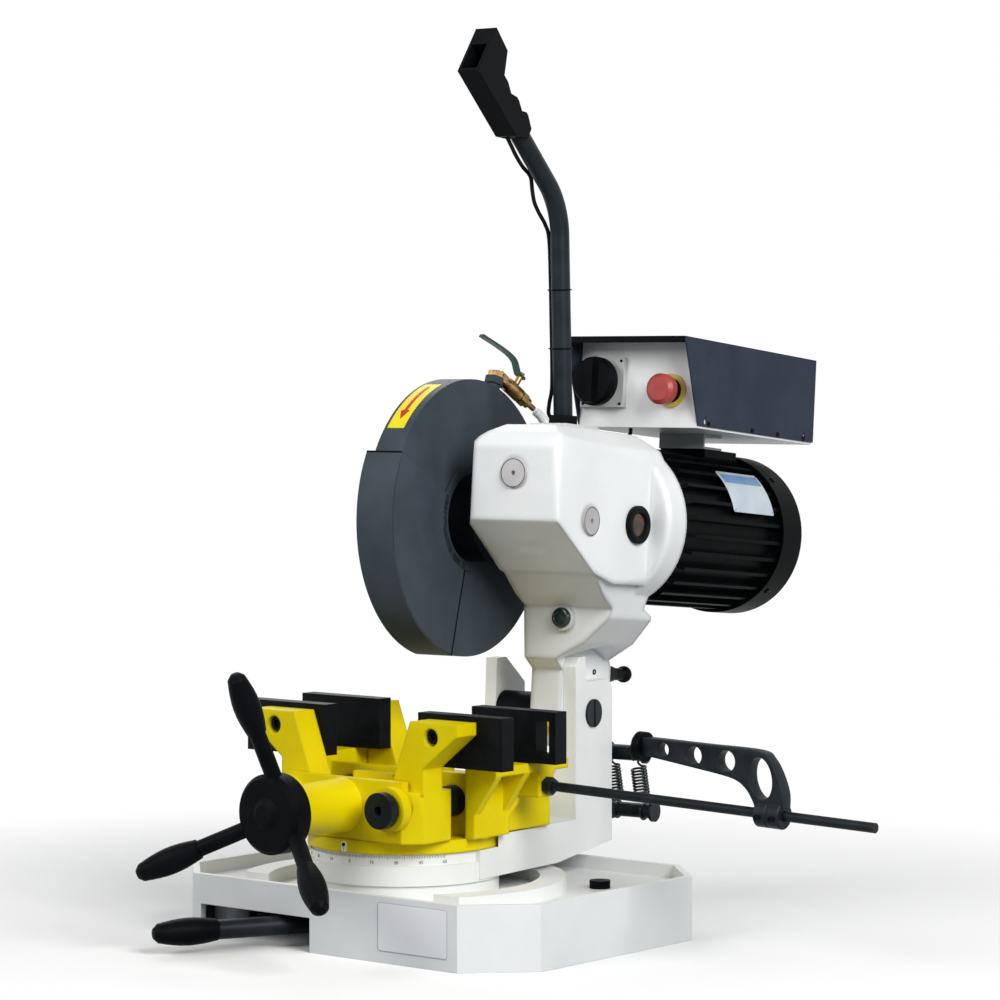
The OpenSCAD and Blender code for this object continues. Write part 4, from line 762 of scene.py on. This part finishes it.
def on_fins(degrees, y, out):
    """A point over the tips of the fins: its angle, its place along the motor and its height over the fins."""
    a = math.radians(degrees)
    return (MOTOR_X + (FIN_R + out) * math.cos(a), y, MOTOR_Z + (FIN_R + out) * math.sin(a))


# A bare rating plate of rolled aluminium, riveted across the fins: pale and satin, with a lacquered blue band
plate_metal = finish("plate_metal", "#B9C6D0", "#C6D2DA", 30, 0.8, 0.01, 0.35, 0.3)
plate_band = finish("plate_band", "#5E86B4", "#6B92BE", 30, 0.8, 0.01, 0.35)
PLATE_THICK = 1.0
fin_degree = math.degrees(1 / FIN_R)
held("motor_plate", sheet("motor_plate", rounded(14, 49, 304, 410, 3, fin_degree), on_fins, PLATE_THICK, plate_metal),
    "head", in_head)
held("motor_plate_band", sheet("motor_plate_band", rounded(38, 46, 308, 406, 1, fin_degree),
    lambda a, y, out: on_fins(a, y, out + PLATE_THICK), 0.15, plate_band), "head", in_head)
screws("plate_rivets", "head", in_head, [
    (on_fins(d, y, PLATE_THICK - 0.1), (math.cos(math.radians(d)), 0, math.sin(math.radians(d))), 1.6)
    for d in (16, 47) for y in (307.5, 406.5)], 0.5, ground_steel)


# Control box: the switch box on a bracket over the motor. Box and lid are folded from sheet, the lid hangs over
# the box on screws along its lower edges, and the main switch and the emergency stop are screwed into the front.
# Powder coat on sheet: a flat blue-black with a fine peel
lid_paint = finish("lid_paint", "#2E3642", "#353E4B", 60, 1.2, 0.03, 0.46, shine=0.03)
# Grey primer enamel on a bent bracket
bracket_paint = finish("bracket_paint", "#8C9294", "#969C9E", 50, 1.2, 0.03, 0.45)
# Moulded ABS in three colours: even, with soft lights and a fine grain
grey_plastic = finish("grey_plastic", "#B9BCBA", "#C2C5C3", 30, 0.8, 0.02, 0.42)
yellow_plastic = finish("yellow_plastic", "#CFB44A", "#D8BE55", 20, 0.8, 0.02, 0.35)
red_plastic = finish("red_plastic", "#A03B37", "#AA443F", 15, 0.8, 0.02, 0.36, shine=0.3)
# Moulded rubber is a flat black that takes hardly any light
rubber = finish("rubber", "#08090A", "#0E0F10", 20, 0.5, 0.02, 0.6, shine=0.08)
coat(white_paint, "control_box")
coat(lid_paint, "box_lid")
coat(bracket_paint, "box_bracket")
coat(grey_plastic, "switch_plate")
coat(black_plastic, "rotary_knob")
coat(yellow_plastic, "estop_collar")
coat(red_plastic, "estop_button")
ESTOP_AT = (180, 223, 180)
SWITCH_AT = (79, 215, 190)
SWITCH_SCREW = 28
BOX_X = 131
LID_HALF = 90.8
sleeve = turned("estop_sleeve", [
    (14.02, 3.1), (16, 3.1), (15, 5), (16, 7), (15, 9), (16, 11), (15.2, 12.8), (14.02, 12.8)], 48, rubber)
held("estop_sleeve", sleeve, "head", in_head @ shift(*ESTOP_AT) @ spin(90, "X"))
# Painted shade: a thin black sheet on the front face of the lid's lip stands in for the shade on that lip
lid_lip_shade_sheet = sheet("lid_lip_painted_shade", rounded(BOX_X - LID_HALF, BOX_X + LID_HALF, 238.6, 247, 1),
    lambda x, z, out: (x, 181.1 - out, z), 1.2, black_plastic)
held("lid_lip_painted_shade", lid_lip_shade_sheet, "head", in_head)
lid_screws = [((BOX_X + side * LID_HALF, y, 139), (side, 0, 0), 3.2)
    for side in (-1, 1) for y in (249, 365, 434, 506)]
plate_screws = [((SWITCH_AT[0] + dx, SWITCH_AT[1], SWITCH_AT[2] + dz), (0, -1, 0), 1.8)
    for dx in (-SWITCH_SCREW, SWITCH_SCREW) for dz in (-SWITCH_SCREW, SWITCH_SCREW)]
screws("box_screws", "head", in_head, lid_screws + plate_screws)


# Feed handle: the lever that pulls the head down, a steel tube bent twice and clamped in a foot on the gearcase.
# The grip is moulded in two halves round the trigger switch, and its cable runs down the tube under two ties.
coat(black_plastic, "handle_foot", "grip")
coat(dark_steel, "handle_tube")
coat(grey_plastic, "trigger")
CABLE_X = 133.1
CABLE_R = 2.5
cable_line = smooth([
    (142, -133.6, 460), (141, -122.4, 451.6), (138.5, -105.7, 440.5), (135, -84.7, 430.3), (CABLE_X, -63.2, 421),
    (CABLE_X - 1, -56, 405), (CABLE_X - 1, -50, 391), (CABLE_X - 0.6, -39, 379), (CABLE_X, -25, 367),
    (CABLE_X, -14, 350), (CABLE_X, -6, 300), (CABLE_X, 1.3, 240), (CABLE_X, 6.2, 200), (CABLE_X - 1, 10.5, 165),
    (CABLE_X - 6, 14, 146), (CABLE_X - 12, 24, 133), (CABLE_X - 14, 45, 126), (CABLE_X - 17, 80, 121),
    (CABLE_X - 19, 120, 119.5), (CABLE_X - 20, 160, 119.5), (CABLE_X - 20, 200, 118.5), (CABLE_X - 20, 225, 119),
    (CABLE_X - 20, 235, 124), (CABLE_X - 20, 236, 131.7)], 6)
cable = swept("switch_cable_run", cable_line, CABLE_R, 16, rubber)
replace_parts(held("switch_cable_run", cable, "head", in_head), "switch_cable")

# Cable ties: nylon straps pulled tight round tube and cable
TUBE_FOOT = (148, 16, 120)
TUBE_LEAN = 7
TIE_R = 12.9
TIE_SMALL_R = 3.4
TIE_REACH = 14.9
TIE_WIRE_R = 0.9
part_angle = math.degrees(math.acos((TIE_R - TIE_SMALL_R) / TIE_REACH))
loop = [(TIE_R * math.cos(math.radians(a)), TIE_R * math.sin(math.radians(a)), 0)
    for a in [part_angle - 180 + (360 - 2 * part_angle) * i / 30 for i in range(31)]]
loop += [(TIE_SMALL_R * math.cos(math.radians(a)) - TIE_REACH, TIE_SMALL_R * math.sin(math.radians(a)), 0)
    for a in [180 - part_angle + 2 * part_angle * i / 12 for i in range(13)]] + [loop[0]]
in_tube = in_head @ shift(*TUBE_FOOT) @ spin(TUBE_LEAN, "X")
for i, height in enumerate((95, 168)):
    tie = swept("cable_tie_%d" % i, loop, TIE_WIRE_R, 8, black_plastic)
    held("cable_tie_%d" % i, tie, "head", in_tube @ shift(0, 0, height))


# Coolant supply: the ball valve that doses the coolant, cast and turned in brass and screwed into a boss welded on
# the guard. Its lever is a cranked steel strip dipped in green plastic, and a clear hose leads to the gearcase.
# Dipped vinyl is a deep green with soft lights
green_plastic = finish("green_plastic", "#10443A", "#185246", 15, 0.8, 0.02, 0.38, shine=0.35)
# Clear hose, seen as the milky white of its wall
clear_hose = finish("clear_hose", "#C9D0CF", "#D5DAD8", 12, 2, 0.02, 0.25)
coat(brass, "coolant_valve")
BOSS_X = 14
BOSS_LEAN = -18
BOSS_FROM = 182
LEVER_THICK = 2.4
HOSE_R = 6
boss = turned("valve_boss", [(11.02, 0), (13.4, 0), (13.4, 9), (12.4, 10), (11.02, 10)], 6, guard_paint)
held("valve_boss", boss, "head",
    in_head @ shift(BOSS_X, 0, 0) @ spin(BOSS_LEAN, "X") @ shift(0, 0, BOSS_FROM))
in_valve = in_head @ shift(16, 60.4, 186) @ spin(72.1, "Z") @ spin(121.6, "Y")
lever_line = smooth([(-20.4, 0, 39), (-20.4, 0, 27), (-25, 0, 20), (-30.5, 0, 12), (-32, 0, 0), (-30, 0, -20),
    (-26, 0, -44), (-25.6, 0, -50)], 6)


def on_lever(step, across, out):
    """A point on the strip of the lever, across it and out from its under side."""
    way = (lever_line[min(step + 1, len(lever_line) - 1)] - lever_line[max(step - 1, 0)]).normalized()
    return lever_line[step] + Vector((0, across, 0)) + Vector((0, 1, 0)).cross(way) * out


widths = (3.2, 4.8, 5.6) + (5.8,) * (len(lever_line) - 6) + (5.4, 4.6, 3)
lever = sheet("valve_lever_strip", [(i, -w, w) for i, w in enumerate(widths)], on_lever, LEVER_THICK, green_plastic)
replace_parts(held("valve_lever_strip", lever, "valve_lever", in_valve), "valve_lever")
nut = turned("valve_nut", [(0, 0), (4.6, 0), (4.6, 3), (3.8, 3.8), (0, 3.8)], 6, brass)
held("valve_nut", nut, "valve_lever", in_valve @ shift(-22.8, 0, 32) @ spin(-90, "Y"))
hose_line = smooth([(36.5, 124.9, 144), (38.5, 131, 140), (42, 137, 133), (47.5, 141, 124), (54, 142, 114),
    (61, 141, 105), (67.9, 140, 96.8)], 8)
hose = swept("coolant_hose_run", hose_line, HOSE_R, 20, clear_hose)
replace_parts(held("coolant_hose_run", hose, "head", in_head), "coolant_hose")
